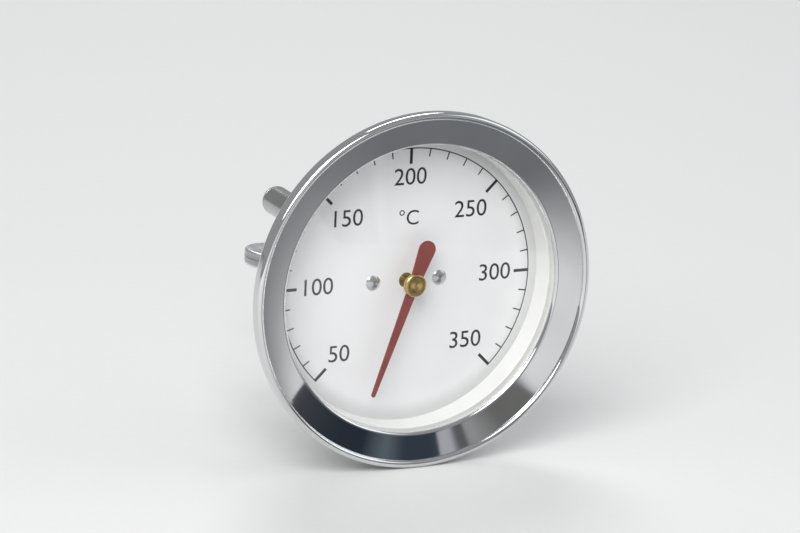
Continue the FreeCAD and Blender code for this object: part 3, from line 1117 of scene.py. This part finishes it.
@dataclass
class CaseShell:
    """Drawn steel cup with its contact ring, and the white spacer inside it."""

    cup: Extent = measured("case_cup")
    spacer: Extent = measured("spacer_ring")
    sheet: float = 0.5
    corner: float = 1.8
    recess: float = 0.6
    recess_radius: float = 16.5
    recess_slope: float = 1.0
    hole: float = 5.02
    play: float = 0.1
    glass_play: float = 0.2
    spacer_wall: float = 0.66
    spacer_draft: float = 0.2
    spacer_flange: float = 0.5
    spacer_inner: float = 27.84
    draw_ease: float = 0.35
    edge: float = 0.1

    def cup_outline(self) -> list[Corner]:
        """Draw the cup from its hole outwards, over the flange and back inside.

        Returns:
            The section's corners.
        """
        lower = self.spacer_inner + self.spacer_wall + self.play
        upper = self.spacer.radius + self.glass_play
        ledge = self.spacer.front - self.spacer_flange
        shoulder = self.recess_radius + self.recess_slope
        sheet, ease, outer = self.sheet, self.draw_ease, self.draw_ease + self.sheet
        return [
            Corner(self.hole, self.recess, ease=self.edge),
            Corner(self.recess_radius, self.recess, ease=ease),
            Corner(shoulder, 0, ease=ease),
            Corner(lower + sheet, 0, ease=self.corner),
            Corner(lower + sheet, ledge - sheet, ease=ease),
            Corner(upper + sheet, ledge - sheet, ease=outer),
            Corner(upper + sheet, self.cup.front - sheet, ease=ease),
            Corner(self.cup.radius, self.cup.front - sheet, ease=self.edge),
            Corner(self.cup.radius, self.cup.front, ease=self.edge),
            Corner(upper, self.cup.front, ease=outer),
            Corner(upper, ledge, ease=self.edge),
            Corner(lower, ledge, ease=self.edge),
            Corner(lower, sheet, ease=self.corner - sheet),
            Corner(shoulder, sheet, ease=ease),
            Corner(self.recess_radius, self.recess + sheet, ease=ease),
            Corner(self.hole, self.recess + sheet, ease=self.edge),
        ]

    def spacer_outline(self) -> list[Corner]:
        """Draw the spacer: a wall with a slight draft, and the flange that carries the glass.

        Returns:
            The section's corners.
        """
        inner, outer = self.spacer_inner, self.spacer_inner + self.spacer_wall
        ledge = self.spacer.front - self.spacer_flange
        return [
            Corner(inner, self.spacer.back, ease=self.edge),
            Corner(inner + self.spacer_draft, self.spacer.front, ease=2 * self.edge),
            Corner(self.spacer.radius, self.spacer.front, ease=self.edge),
            Corner(self.spacer.radius, ledge, ease=self.edge),
            Corner(outer, ledge, ease=self.edge),
            Corner(outer, self.spacer.back, ease=self.edge),
        ]

    def build(self) -> None:
        """Draw the cup and form the spacer."""
        fit_turned("drawn_case", self.cup_outline(), DRAWN_STEEL, "case_cup", steps=5)
        fit_turned("enamelled_spacer", self.spacer_outline(), WHITE_ENAMEL, "spacer_ring", steps=4)


@dataclass
class Scale:
    """The dial's printed scale, in degrees Celsius. Bearings run clockwise from twelve."""

    low: int = 50
    high: int = 350
    low_bearing: float = 225.0
    sweep: float = 270.0
    fine_step: int = 10
    label_step: int = 50
    radius: float = 26.2
    line: float = 0.22
    line_chords: int = 4  # chords of the line from one fine mark to the next
    fine_tick: float = 1.7
    label_tick: float = 3.2
    fine_width: float = 0.26
    label_width: float = 0.6
    figure_gap: float = 0.8
    figure_height: float = 3.3
    unit_radius: float = 14.0
    unit_height: float = 2.9
    type_height: float = 0.7  # height of a figure, as a share of the size of its type
    ink: float = 0.012

    def bearing(self, degrees: float) -> float:
        """Find where a temperature stands on the dial, in radians clockwise from twelve."""
        share = (degrees - self.low) / (self.high - self.low)
        return math.radians(self.low_bearing + self.sweep * share)

    def bar(self, bearing: float, length: float, width: float, face: float) -> Mesh:
        """Print one straight mark that points to the dial's centre.

        Args:
            bearing: where the mark stands, in radians.
            length: its length, in millimetres.
            width: its width.
            face: how far the dial's face lies in front of the panel's.

        Returns:
            The mesh.
        """
        half, inner, outer = width / 2, self.radius - length, self.radius
        corners = ((-half, inner), (half, inner), (half, outer), (-half, outer))
        turn = Matrix.Rotation(-bearing, 2)
        return prism("mark", [turn @ Vector(corner) for corner in corners], face, face + self.ink)

    def arc(self, face: float) -> Mesh:
        """Print the line that joins the marks.

        Args:
            face: how far the dial's face lies in front of the panel's.

        Returns:
            The mesh.
        """
        span = self.high - self.low
        steps = self.line_chords * span // self.fine_step
        bearings = [self.bearing(self.low + span * step / steps) for step in range(steps + 1)]
        rims = ((self.radius, bearings), (self.radius - self.line, bearings[::-1]))
        outline = [Vector((math.sin(bearing), math.cos(bearing))) * radius
                   for radius, run in rims for bearing in run]
        return prism("line", outline, face, face + self.ink)

    def figure(self, text: str, height: float, bearing: float, outer: float, face: float) -> Mesh:
        """Print text upright on the dial.

        Args:
            text: what it says.
            height: height of its figures, in millimetres.
            bearing: its bearing from the dial's centre, in radians.
            outer: radius that the text keeps inside.
            face: how far the dial's face lies in front of the panel's.

        Returns:
            The mesh.
        """
        lettering = bpy.data.curves.new("figure", "FONT")
        lettering.body = text
        lettering.align_x = lettering.align_y = "CENTER"
        lettering.size = height * MM / self.type_height
        lettering.extrude = self.ink * MM / 2
        mesh = evaluated(lettering)
        wide, tall = (max(abs(vertex.co[axis]) for vertex in mesh.vertices) / MM for axis in (0, 1))
        reach = outer - wide * abs(math.sin(bearing)) - tall * abs(math.cos(bearing))
        place = Vector((reach * math.sin(bearing), -face - self.ink / 2, reach * math.cos(bearing))) * MM
        mesh.transform(Matrix.Translation(place) @ Matrix.Rotation(math.pi / 2, 4, "X"))
        return mesh

    def printed(self, face: float) -> Mesh:
        """Print the line, the marks, the figures and the unit.

        Args:
            face: how far the dial's face lies in front of the panel's.

        Returns:
            The mesh.
        """
        layers = [self.arc(face)]
        inner = self.radius - self.label_tick - self.figure_gap
        for value in range(self.low, self.high + 1, self.fine_step):
            bearing = self.bearing(value)
            if value % self.label_step:
                layers.append(self.bar(bearing, self.fine_tick, self.fine_width, face))
            else:
                layers.append(self.bar(bearing, self.label_tick, self.label_width, face))
                layers.append(self.figure(str(value), self.figure_height, bearing, inner, face))
        layers.append(self.figure("\N{DEGREE SIGN}C", self.unit_height, 0.0, self.unit_radius, face))
        return joined("print", layers)


@dataclass
class Dial:
    """White dial with its printed scale, and the two rivets that hold it."""

    plate: Extent = measured("dial_plate")
    rivets: Extent = measured("dial_rivets")
    scale: Scale = field(default_factory=Scale)
    hole: float = 1.5
    edge: float = 0.06
    head: float = 1.5
    shank: float = 0.78

    def rivet(self) -> Mesh:
        """Head one rivet on the axis: a low dome over a shank.

        Returns:
            The mesh.
        """
        rise = self.rivets.front - self.plate.front
        dome = (self.head**2 + rise**2) / (2 * rise)
        return lathe("rivet", trace([
            Corner(0, self.rivets.front, bend=-dome),
            Corner(self.head, self.plate.front + self.edge),
            Corner(self.head, self.plate.front),
            Corner(self.shank, self.plate.front),
            Corner(self.shank, self.rivets.back),
            Corner(0, self.rivets.back),
        ]), segments=64)

    def build(self) -> None:
        """Blank and print the dial, and set its rivets."""
        radius, back, front = self.plate
        plate = plain_ring(self.hole, radius, back, front, self.edge)
        fit_turned("dial_face", plate, DIAL_LACQUER, "dial_plate", steps=3)
        fit("dial_print", self.scale.printed(front), PRINTED_INK, "dial_plate", stands_in=False)
        pair = []
        for side in (-1, 1):
            rivet = self.rivet()
            rivet.transform(Matrix.Translation((side * (self.rivets.radius - self.head) * MM, 0, 0)))
            pair.append(rivet)
        fit("rivet_heads", joined("rivets", pair), RIVET_ALUMINIUM, "dial_rivets")


@dataclass
class Movement:
    """Red pointer and its hub. The shaft, bushes, collar and helix inside keep their CAD shapes."""

    blade: Extent = measured("pointer")
    hub: Extent = measured("pointer_hub")
    tip_width: float = 0.9
    root_width: float = 2.2
    root_ease: float = 2.0
    tail: float = 9.0
    tail_width: float = 3.6
    hole: float = 1.02
    edge: float = 0.07
    neck: float = 1.0
    shoulder: float = 1.6
    shoulder_height: float = 1.0
    crown: float = 0.45
    dimple: float = 0.55
    dimple_depth: float = 0.1375
    dimple_bend: float = 1.1

    def rest_tip(self) -> Vector:
        """Find the pointer's tip at rest, across X and up Z in millimetres from the axis."""
        points = [vertex.co.xz for vertex in frame["nodes"]["pointer"].data.vertices]
        return max(points, key=lambda point: point.length) / MM

    def blade_mesh(self) -> Mesh:
        """Blank the pointer upright, ease its edges, bore it and turn it to its rest angle.

        Returns:
            The mesh.
        """
        tip = self.rest_tip()
        back, front = self.blade.back, self.blade.front
        reach, end, root, tail = tip.length, self.tip_width / 2, self.root_width / 2, self.tail_width / 2
        outline = trace([
            Corner(tail, tail - self.tail),
            Corner(root, 0, ease=self.root_ease),
            Corner(end, reach - end, bend=end),
            Corner(-end, reach - end),
            Corner(-root, 0, ease=self.root_ease),
            Corner(-tail, tail - self.tail, bend=tail),
        ])
        bevel = {"width": self.edge * MM, "segments": 2, "limit_method": "ANGLE", "angle_limit": SHARP_EDGE}
        blank = evaluated(prism("pointer", outline, back, front), ("BEVEL", bevel))
        bore = trace(plain_ring(0, self.hole, back - OVERRUN, front + OVERRUN))
        blank = carved(blank, lathe("bore", bore, segments=64))
        blank.transform(Matrix.Rotation(math.atan2(tip.x, tip.y), 4, "Y"))
        return blank

    def hub_outline(self) -> list[Corner]:
        """Draw the hub: a shoulder, a neck and a rounded head with the dimple of the riveting punch.

        Returns:
            The section's corners.
        """
        back, front = self.blade.back, self.blade.front
        return [
            Corner(0, self.hub.front - self.dimple_depth, bend=self.dimple_bend),
            Corner(self.dimple, self.hub.front),
            Corner(self.hub.radius, self.hub.front, ease=self.crown),
            Corner(self.hub.radius, front, ease=self.edge),
            Corner(self.neck, front),
            Corner(self.neck, back),
            Corner(self.shoulder, back, ease=self.edge),
            Corner(self.shoulder, back - self.shoulder_height, ease=self.edge),
            Corner(0, back - self.shoulder_height),
        ]

    def build(self) -> None:
        """Make the pointer and hub, and finish the pieces inside."""
        fit("needle", self.blade_mesh(), POINTER_LACQUER, "pointer")
        fit_turned("needle_hub", self.hub_outline(), TURNED_BRASS, "pointer_hub", segments=96)
        for node in ("upper_bearing", "lower_bearing", "coil_collar"):
            refinish(node, TURNED_BRASS)
        refinish("pointer_shaft", TURNED_STEEL)
        refinish("bimetal_coil", BIMETAL_STRIP)


@dataclass(frozen=True)
class Thread:
    """Right-hand metric thread. Its phase is fixed to the frame, so a stud and a nut that use it mesh."""

    major: float = 5.0
    pitch: float = 1.5
    depth: float = 0.92
    crest: float = 0.0625  # half the width of the flat at the crest, as a share of the pitch
    root: float = 0.0835  # the same at the root
    columns: int = 96

    def phases(self) -> list[float]:
        """List the stations of the section's rows, as shares of the pitch from a crest on.

        Returns:
            The shares.
        """
        flank = 0.5 - self.root
        half = [0, self.crest, (self.crest + flank) / 2, flank, 0.5]
        return half + [1 - phase for phase in half[3:0:-1]]

    def cut(self, phase: float) -> float:
        """Find how deep the thread is at a share of its pitch, from 0 at the crest to 1 at the root."""
        away = min(phase, 1 - phase)
        return min(max((away - self.crest) / (0.5 - self.crest - self.root), 0.0), 1.0)

    def at(self, row: int, column: int) -> int:
        """Number the point in a row and a column."""
        return row * self.columns + column

    def flanks(self, last: int, per_turn: int) -> list[list[int]]:
        """Join the rows to faces. Each row's end meets the start of the row that lies a turn further on.

        Args:
            last: number of the last row.
            per_turn: rows in a turn.

        Returns:
            The points of each face.
        """
        at, seam, faces = self.at, self.columns - 1, []
        for row in range(last):
            for column in range(seam):
                beside = column + 1
                faces.append([at(row, column), at(row + 1, column), at(row + 1, beside), at(row, beside)])
            onward = row + per_turn
            if onward < last:
                faces.append([at(row, seam), at(row + 1, seam), at(onward + 1, 0), at(onward, 0)])
        return faces

    def rims(self, last: int, per_turn: int) -> tuple[list[int], list[int]]:
        """Follow the open ends of the rod.

        Args:
            last: number of the last row.
            per_turn: rows in a turn.

        Returns:
            The points round the first end and round the last.
        """
        first = [self.at(0, column) for column in range(self.columns)]
        first += [self.at(row, 0) for row in range(per_turn, 0, -1)]
        final = [self.at(last, column) for column in range(self.columns)]
        final += [self.at(row, self.columns - 1) for row in range(last - 1, last - per_turn - 1, -1)]
        return first, final

    def rod(self, start: float, end: float, slack: float, full_from: float) -> Mesh:
        """Make a closed threaded rod along the axis.

        Args:
            start: where it begins behind the panel's face.
            end: where it ends.
            slack: how much larger than the thread it is.
            full_from: the thread fades in over the pitch before this station.

        Returns:
            The mesh.
        """
        phases = self.phases()
        turns = range(math.floor(start / self.pitch) - 1, math.ceil(end / self.pitch))
        rows = [(self.pitch * (turn + phase), self.cut(phase)) for turn in turns for phase in phases]
        vertices = []
        for station, cut in rows:
            for share in (column / self.columns for column in range(self.columns)):
                along = station + self.pitch * share
                fade = min(max((along - full_from) / self.pitch + 1, 0.0), 1.0)
                radius = self.major + slack - self.depth * cut * fade
                turn = FULL_TURN * share
                vertices.append((radius * math.sin(turn), along, radius * math.cos(turn)))
        last, per_turn = len(rows) - 1, len(phases)
        faces = self.flanks(last, per_turn)
        for rim in self.rims(last, per_turn):
            hub = len(vertices)
            vertices.append((0, sum(vertices[index][1] for index in rim) / len(rim), 0))
            faces += [[hub, first, second] for first, second in zip(rim, rim[1:] + rim[:1])]
        return mesh_of("thread", vertices, faces)


THREAD = Thread()


@dataclass
class Stem:
    """Threaded stud, probe tube and rounded tip."""

    stud: Extent = measured("stem_boss")
    tube: Extent = measured("stem_tube")
    plug: Extent = measured("tip_plug")
    floor: float = 1.1
    bore: float = 2.82
    neck: float = 2.8
    tube_bore: float = 2.5
    gap: float = 0.02
    chamfer: float = 0.8
    edge: float = 0.12
    plain_shank: float = 1.2
    cutter_depth: float = 4 / 3  # how far in the thread's cutter reaches, over the thread's depth
    spigot: float = 1.575
    spigot_length: float = 4.0
    plug_length: float = 4.0
    seam: float = 0.12
    tip_round: float = 1.43

    def stud_mesh(self) -> Mesh:
        """Turn the stud's blank and cut its thread.

        Returns:
            The mesh.
        """
        end = -self.stud.back
        blank = lathe("stud", trace([
            Corner(self.bore, self.stud.front, ease=self.edge),
            Corner(self.stud.radius, self.stud.front, ease=self.edge),
            Corner(self.stud.radius, self.floor, ease=self.edge),
            Corner(THREAD.major, self.floor),
            Corner(THREAD.major, self.chamfer - end),
            Corner(THREAD.major - self.chamfer, -end),
            Corner(self.bore, -end, ease=self.edge),
        ]), segments=192)
        rod = THREAD.rod(self.plain_shank - THREAD.pitch, end, self.gap, self.plain_shank + THREAD.pitch)
        inner, outer = THREAD.major - self.cutter_depth * THREAD.depth, THREAD.major + OVERRUN
        sleeve = trace(plain_ring(inner, outer, -end - OVERRUN, -self.plain_shank))
        return carved(blank, carved(lathe("sleeve", sleeve, segments=192), rod))

    def tube_outline(self) -> list[Corner]:
        """Draw the tube: its neck inside the stud, the shoulder and the bead where its end is welded.

        Returns:
            The section's corners.
        """
        end, radius = -self.tube.back, self.tube.radius
        shoulder = -self.stud.back + self.gap
        return [
            Corner(self.tube_bore, self.tube.front),
            Corner(self.neck, self.tube.front),
            Corner(self.neck, -shoulder),
            Corner(radius, -shoulder, ease=self.edge),
            Corner(radius, -end, ease=self.seam),
            Corner(self.tube_bore, -end),
        ]

    def plug_outline(self) -> list[Corner]:
        """Draw the plug: spigot, collar and rounded tip.

        Returns:
            The section's corners.
        """
        seat, end = self.tube.back - self.gap, self.plug.back
        inside = seat + self.gap + self.plug_length
        return [
            Corner(0, inside + self.spigot_length),
            Corner(self.spigot, inside + self.spigot_length, ease=self.edge),
            Corner(self.spigot, inside),
            Corner(self.tube_bore - self.gap, inside, ease=self.edge),
            Corner(self.tube_bore - self.gap, seat),
            Corner(self.plug.radius, seat, ease=self.seam),
            Corner(self.plug.radius, end, ease=self.tip_round),
            Corner(0, end),
        ]

    def build(self) -> None:
        """Make the stud, the tube and the tip."""
        fit("threaded_stud", self.stud_mesh(), TURNED_STEEL, "stem_boss")
        fit_turned("probe_tube", self.tube_outline(), TUBE_STEEL, "stem_tube", steps=4, segments=128)
        fit_turned("probe_tip", self.plug_outline(), TURNED_STEEL, "tip_plug", steps=10, segments=128)


@dataclass
class PanelFixing:
    """Plain washer, spring washer and wing nut that clamp the panel from behind."""

    washer: Extent = measured("flat_washer")
    spring: Extent = measured("lock_washer")
    nut: Extent = measured("wing_nut")
    washer_bore: float = 5.25
    punched_edge: float = 0.45
    burr_edge: float = 0.08
    spring_bore: float = 5.15
    spring_edge: float = 0.25
    spring_steps: int = 150
    spring_end: float = 0.93  # size of the wire's cut ends over that of the wire
    slit: float = 1.2
    slit_lean: float = 0.6
    nut_base: float = 9.6
    nut_top: float = 8.2
    nut_height: float = 10.0
    nut_foot: float = 2.0
    nut_bore: float = 4.14
    countersink: float = 5.85
    wing_thickness: float = 3.2
    wing_width: float = 8.4
    wing_start: float = 1.8
    wing_root: float = 1.0
    wing_crown: float = 0.9
    grain: float = 0.24
    melting: int = 14  # rounds of smoothing that melt the casting's corners
    slack: float = 0.06

    def washer_outline(self) -> list[Corner]:
        """Draw the plain washer: punching rolls its front edges over and leaves the back ones crisp.

        Returns:
            The section's corners.
        """
        radius, back, front = self.washer
        return [
            Corner(self.washer_bore, front, ease=self.punched_edge),
            Corner(radius, front, ease=self.punched_edge),
            Corner(radius, back, ease=self.burr_edge),
            Corner(self.washer_bore, back, ease=self.burr_edge),
        ]

    def spring_mesh(self) -> Mesh:
        """Coil one turn of square wire, with its ends cut flat and on a slant, and facing each other below.

        Returns:
            The mesh.
        """
        radius, back, front = self.spring
        section = trace(plain_ring(self.spring_bore, radius, back, front, self.spring_edge), steps=4)
        middle = Vector(((self.spring_bore + radius) / 2, (front + back) / 2))
        steps, count = self.spring_steps, len(section)
        vertices = []
        for step in range(steps + 1):
            inset = self.spring_end if step in (0, steps) else 1.0
            for point in section:
                spot = middle + (point - middle) * inset
                lean = self.slit_lean * (spot.y - middle.y) / (front - back)
                first = math.pi + (lean + self.slit / 2) / spot.x
                last = math.pi + (lean - self.slit / 2) / spot.x + FULL_TURN
                turn = first + (last - first) * step / steps
                vertices.append((spot.x * math.sin(turn), -spot.y, spot.x * math.cos(turn)))
        ends = [list(range(start, start + count)) for start in (0, steps * count)]
        sides = [[start + k, start + (k + 1) % count, start + count + (k + 1) % count, start + count + k]
                 for start in range(0, steps * count, count) for k in range(count)]
        return mesh_of("spring", vertices, ends + sides)

    def wing_outline(self) -> list[Corner]:
        """Draw both wings across X and along the axis, in stations behind the panel's face.

        Returns:
            The outline's corners.
        """
        start, top = -self.nut.front, -self.nut.back
        tip, ear, width = self.nut.radius, self.wing_width / 2, self.wing_width
        root = self.nut_top - self.wing_root
        right = [
            Corner(root, start + self.wing_start),
            Corner(tip - ear, start + width, bend=width),
            Corner(tip, top - ear, bend=ear),
            Corner(tip - ear, top, bend=ear),
            Corner(tip - width, top - ear, bend=-width),
            Corner(root, start + self.nut_height - self.wing_root),
        ]
        bends = [corner.bend for corner in right[-2::-1]] + [0.0]
        left = [Corner(-corner.across, corner.up, bend=bend) for corner, bend in zip(right[::-1], bends)]
        return right + left

    def nut_mesh(self) -> Mesh:
        """Cast the nut: wings and hub melt into each other, then the hub is countersunk and tapped.

        Returns:
            The mesh.
        """
        start, end = -self.nut.front, self.nut_height - self.nut.front
        half = self.wing_thickness / 2
        wings = prism("wings", trace(self.wing_outline()), -half, half)
        wings.transform(Matrix.Rotation(-math.pi / 2, 4, "X"))
        hub = lathe("hub", trace([
            Corner(0, -start),
            Corner(self.nut_base, -start, ease=self.punched_edge),
            Corner(self.nut_base, -start - self.nut_foot, ease=self.punched_edge),
            Corner(self.nut_top, -end, ease=self.wing_crown),
            Corner(0, -end),
        ]), segments=96)
        melted = evaluated(
            joined("nut", [wings, hub]),
            ("REMESH", {"mode": "VOXEL", "voxel_size": self.grain * MM}),
            ("SMOOTH", {"factor": 0.5, "iterations": self.melting}),
        )
        drill = lathe("drill", trace([
            Corner(0, 2 * OVERRUN - start),
            Corner(self.countersink + OVERRUN, OVERRUN - start),
            Corner(self.nut_bore, self.nut_bore - self.countersink - start),
            Corner(self.nut_bore, self.countersink - self.nut_bore - end),
            Corner(self.countersink + OVERRUN, -OVERRUN - end),
            Corner(0, -2 * OVERRUN - end),
        ]), segments=128)
        over = 2 * THREAD.pitch
        tap = THREAD.rod(start - over, end + over, self.slack, start - over)
        nut = carved(carved(melted, drill), tap)
        mark_wear(nut)
        return nut

    def build(self) -> None:
        """Punch the washers and cast the nut."""
        fit_turned("plain_washer", self.washer_outline(), ZINC_PLATE, "flat_washer", segments=160)
        fit("spring_washer", self.spring_mesh(), ZINC_PLATE, "lock_washer")
        fit("wing_nut_casting", self.nut_mesh(), CAST_ZINC, "wing_nut")


# ---------------------------------------------------------------- studio


class Stripe(NamedTuple):
    """A stretch of the curved card that shows one tone. From one stripe to the next the tone changes evenly.

    Its bearings are in degrees to the right of straight ahead of the dial.
    """

    start: float
    end: float
    colour: str


@dataclass(frozen=True)
class SoftBox:
    """A square lamp that looks at the dial. Its bearing is to the right of straight ahead of the dial.

    Angles are in degrees, sizes in millimetres and its power in watts.
    """

    name: str
    bearing: float
    elevation: float
    distance: float
    side: float
    power: float
    tone: str = "#FFFFFF"


@dataclass
class Studio:
    """Pale floor, soft light all round, and cards that only polished metal and glass mirror.

    The curved card's stripes fan out like spokes. Their lines meet fan_depth under the floor at fan_bearing.
    At the height card_middle they stand at the bearings that they name. Floor_radius is in metres.
    """

    floor_radius: float = 4.0
    floor_chords: int = 128
    sky_tone: str = "#E9ECEF"
    sky_strength: float = 0.42
    card_distance: float = 168.0
    card_height: float = 30.0
    card_step: float = 0.5
    card_middle: float = 17.0
    fan_depth: float = 17.0
    fan_bearing: float = 22.2
    stripes: tuple[Stripe, ...] = (
        Stripe(14.4, 17.2, "#757473"),
        Stripe(19.1, 19.5, "#9FA1A1"),
        Stripe(19.75, 20.25, "#616365"),
        Stripe(20.65, 21.62, "#B9B9BF"),
        Stripe(21.66, 24.3, "#38414B"),
        Stripe(25.9, 26.1, "#616C74"),
        Stripe(28.4, 31.8, "#2D343E"),
        Stripe(43.5, 45.9, "#484A50"),
    )
    sheet_tone: str = "#7A7C80"
    sheet_size: tuple[float, float] = (54.0, 230.0)
    sheet_fade: float = 20.0
    sheet_bearing: float = 26.1
    sheet_distance: float = 133.0
    sheet_lift: float = 0.5
    lamps: tuple[SoftBox, ...] = (
        SoftBox("key_light", bearing=-38.0, elevation=42.0, distance=900.0, side=620.0, power=7.4),
        SoftBox("fill_light", bearing=62.0, elevation=30.0, distance=1000.0, side=600.0, power=1.2,
                tone="#F4F8FF"),
        SoftBox("back_light", bearing=160.0, elevation=48.0, distance=900.0, side=420.0, power=3.0),
    )

    def place(
        self,
        name: str,
        finish: Finish,
        vertices: Sequence[Sequence[float]],
        faces: Sequence[Sequence[int]],
        mirrored_only: bool = True,
    ) -> Object:
        """Put up a sheet that belongs to the studio.

        Args:
            name: its name.
            finish: what it shows.
            vertices: its points, in metres.
            faces: its faces.
            mirrored_only: whether nothing but a mirror or the glass sees it.

        Returns:
            The sheet.
        """
        mesh = bpy.data.meshes.new(name)
        mesh.from_pydata(vertices, [], faces)
        mesh.materials.append(finish.material())
        sheet = bpy.data.objects.new(name, mesh)
        bpy.context.collection.objects.link(sheet)
        if mirrored_only:
            sheet.visible_camera = sheet.visible_diffuse = sheet.visible_shadow = False
        sheet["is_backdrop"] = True
        return sheet

    def lay_floor(self, floor: float) -> None:
        """Lay a round floor of paper.

        Args:
            floor: its height, in metres.
        """
        radius = self.floor_radius
        turns = [FULL_TURN * step / self.floor_chords for step in range(self.floor_chords)]
        rim = [(radius * math.cos(turn), radius * math.sin(turn), floor) for turn in turns]
        self.place("floor", STUDIO_PAPER, rim, [range(self.floor_chords)], mirrored_only=False)

    def stand_card(self, floor: float) -> None:
        """Stand the curved card, whose tone changes along it, on the floor.

        Args:
            floor: the floor's height, in metres.
        """
        radius = self.card_distance * MM
        fans = [(floor + height * MM, (height + self.fan_depth) / (self.card_middle + self.fan_depth))
                for height in (0.0, self.card_height)]
        stops = [(bearing, linear(stripe.colour)) for stripe in self.stripes for bearing in stripe[:2]]
        vertices, colours = [], []
        for (start, first), (end, last) in zip(stops, stops[1:]):
            steps = math.ceil((end - start) / self.card_step)
            for share in (step / steps for step in range(steps + 1)):
                bearing = start + (end - start) * share
                for height, fan in fans:
                    turn = math.radians(self.fan_bearing + (bearing - self.fan_bearing) * fan)
                    vertices.append((radius * math.sin(turn), -radius * math.cos(turn), height))
                colours += 2 * [a + (b - a) * share for a, b in zip(first, last)]
        faces = [(k, k + 2, k + 3, k + 1) for k in range(0, len(vertices) - 2, 2)]
        card = self.place("shaded_card", PaintedGlow("shaded_card"), vertices, faces)
        card.data.color_attributes.new("tone", "FLOAT_COLOR", "POINT").data.foreach_set("color", colours)

    def lay_sheet(self, floor: float) -> None:
        """Lay a soft-edged grey sheet in front of the dial, which keeps the floor's glare off the lens.

        Args:
            floor: the floor's height, in metres.
        """
        wide, long = self.sheet_size
        glow = FadingGlow("glare_sheet", self.sheet_tone, width=wide, length=long, fade=self.sheet_fade)
        quarters = ((-0.5, -0.5), (0.5, -0.5), (0.5, 0.5), (-0.5, 0.5))
        corners = [(x * wide * MM, y * long * MM, 0) for x, y in quarters]
        sheet = self.place("glare_sheet", glow, corners, [range(len(corners))])
        turn, reach = math.radians(self.sheet_bearing), self.sheet_distance * MM
        sheet.location = (reach * math.sin(turn), -reach * math.cos(turn), floor + self.sheet_lift * MM)
        sheet.rotation_euler = (0, 0, turn)

    def hang_lamp(self, lamp: SoftBox) -> None:
        """Hang one soft box and aim it at the origin.

        Args:
            lamp: the soft box.
        """
        light = bpy.data.lights.new(lamp.name, "AREA")
        light.size = lamp.side * MM
        light.energy = lamp.power
        light.color = linear(lamp.tone)[:3]
        hung = bpy.data.objects.new(lamp.name, light)
        bpy.context.collection.objects.link(hung)
        bearing, rise = math.radians(lamp.bearing), math.radians(lamp.elevation)
        level = math.cos(rise)
        way = Vector((level * math.sin(bearing), -level * math.cos(bearing), math.sin(rise)))
        hung.location = way * lamp.distance * MM
        hung.rotation_mode = "QUATERNION"
        hung.rotation_quaternion = way.to_track_quat("Z", "Y")

    def light_sky(self) -> None:
        """Fill the room with soft light of one tone."""
        world = bpy.data.worlds.new("studio")
        world.use_nodes = True
        world.node_tree.nodes.clear()
        glow = {"Color": linear(self.sky_tone), "Strength": self.sky_strength}
        sky = add_node(world.node_tree, "Background", inputs=glow)
        add_node(world.node_tree, "OutputWorld", inputs={"Surface": sky.outputs[0]})
        bpy.context.scene.world = world

    def build(self, floor: float) -> None:
        """Set up the studio.

        Args:
            floor: the floor's height, which is the object's lowest point, in metres.
        """
        bpy.context.scene.view_settings.view_transform = "Standard"
        self.light_sky()
        self.lay_floor(floor)
        self.stand_card(floor)
        self.lay_sheet(floor)
        for lamp in self.lamps:
            self.hang_lamp(lamp)


@dataclass
class Viewpoint:
    """The camera: a little to the left and above, turned and tipped towards the dial."""

    offset: Vector = field(default_factory=lambda: Vector((-385, -785, 247)))
    aim: Vector = field(default_factory=lambda: Vector((3, 6, 0)))
    roll: float = 2.4
    lens: float = 215.0
    sensor: float = 36.0

    def build(self, rim: float) -> None:
        """Make the camera.

        Args:
            rim: how far the bezel's rim lies in front of the panel's face, in millimetres.
        """
        camera = bpy.data.objects.new("camera", bpy.data.cameras.new("camera"))
        camera.data.lens = self.lens
        camera.data.sensor_width = self.sensor
        centre = Vector((0, -rim, 0))
        camera.location = (centre + self.offset) * MM
        look = (self.aim - centre - self.offset).to_track_quat("-Z", "Y")
        camera.rotation_mode = "QUATERNION"
        camera.rotation_quaternion = look @ Quaternion((0, 0, 1), math.radians(self.roll))
        bpy.context.collection.objects.link(camera)
        bpy.context.scene.camera = camera


def main() -> None:
    """Build the sub-assemblies in the order of assembly, then the studio and the camera."""
    logging.basicConfig(level=logging.INFO, format="%(name)s: %(message)s")
    bezel = Bezel()
    for assembly in (CaseShell(), Dial(), Movement(), Glazing(), bezel, Stem(), PanelFixing()):
        assembly.build()
    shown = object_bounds()
    Studio().build(shown[0].z)
    Viewpoint().build(bezel.whole.front - bezel.bead)


if __name__ == "__main__":
    main()
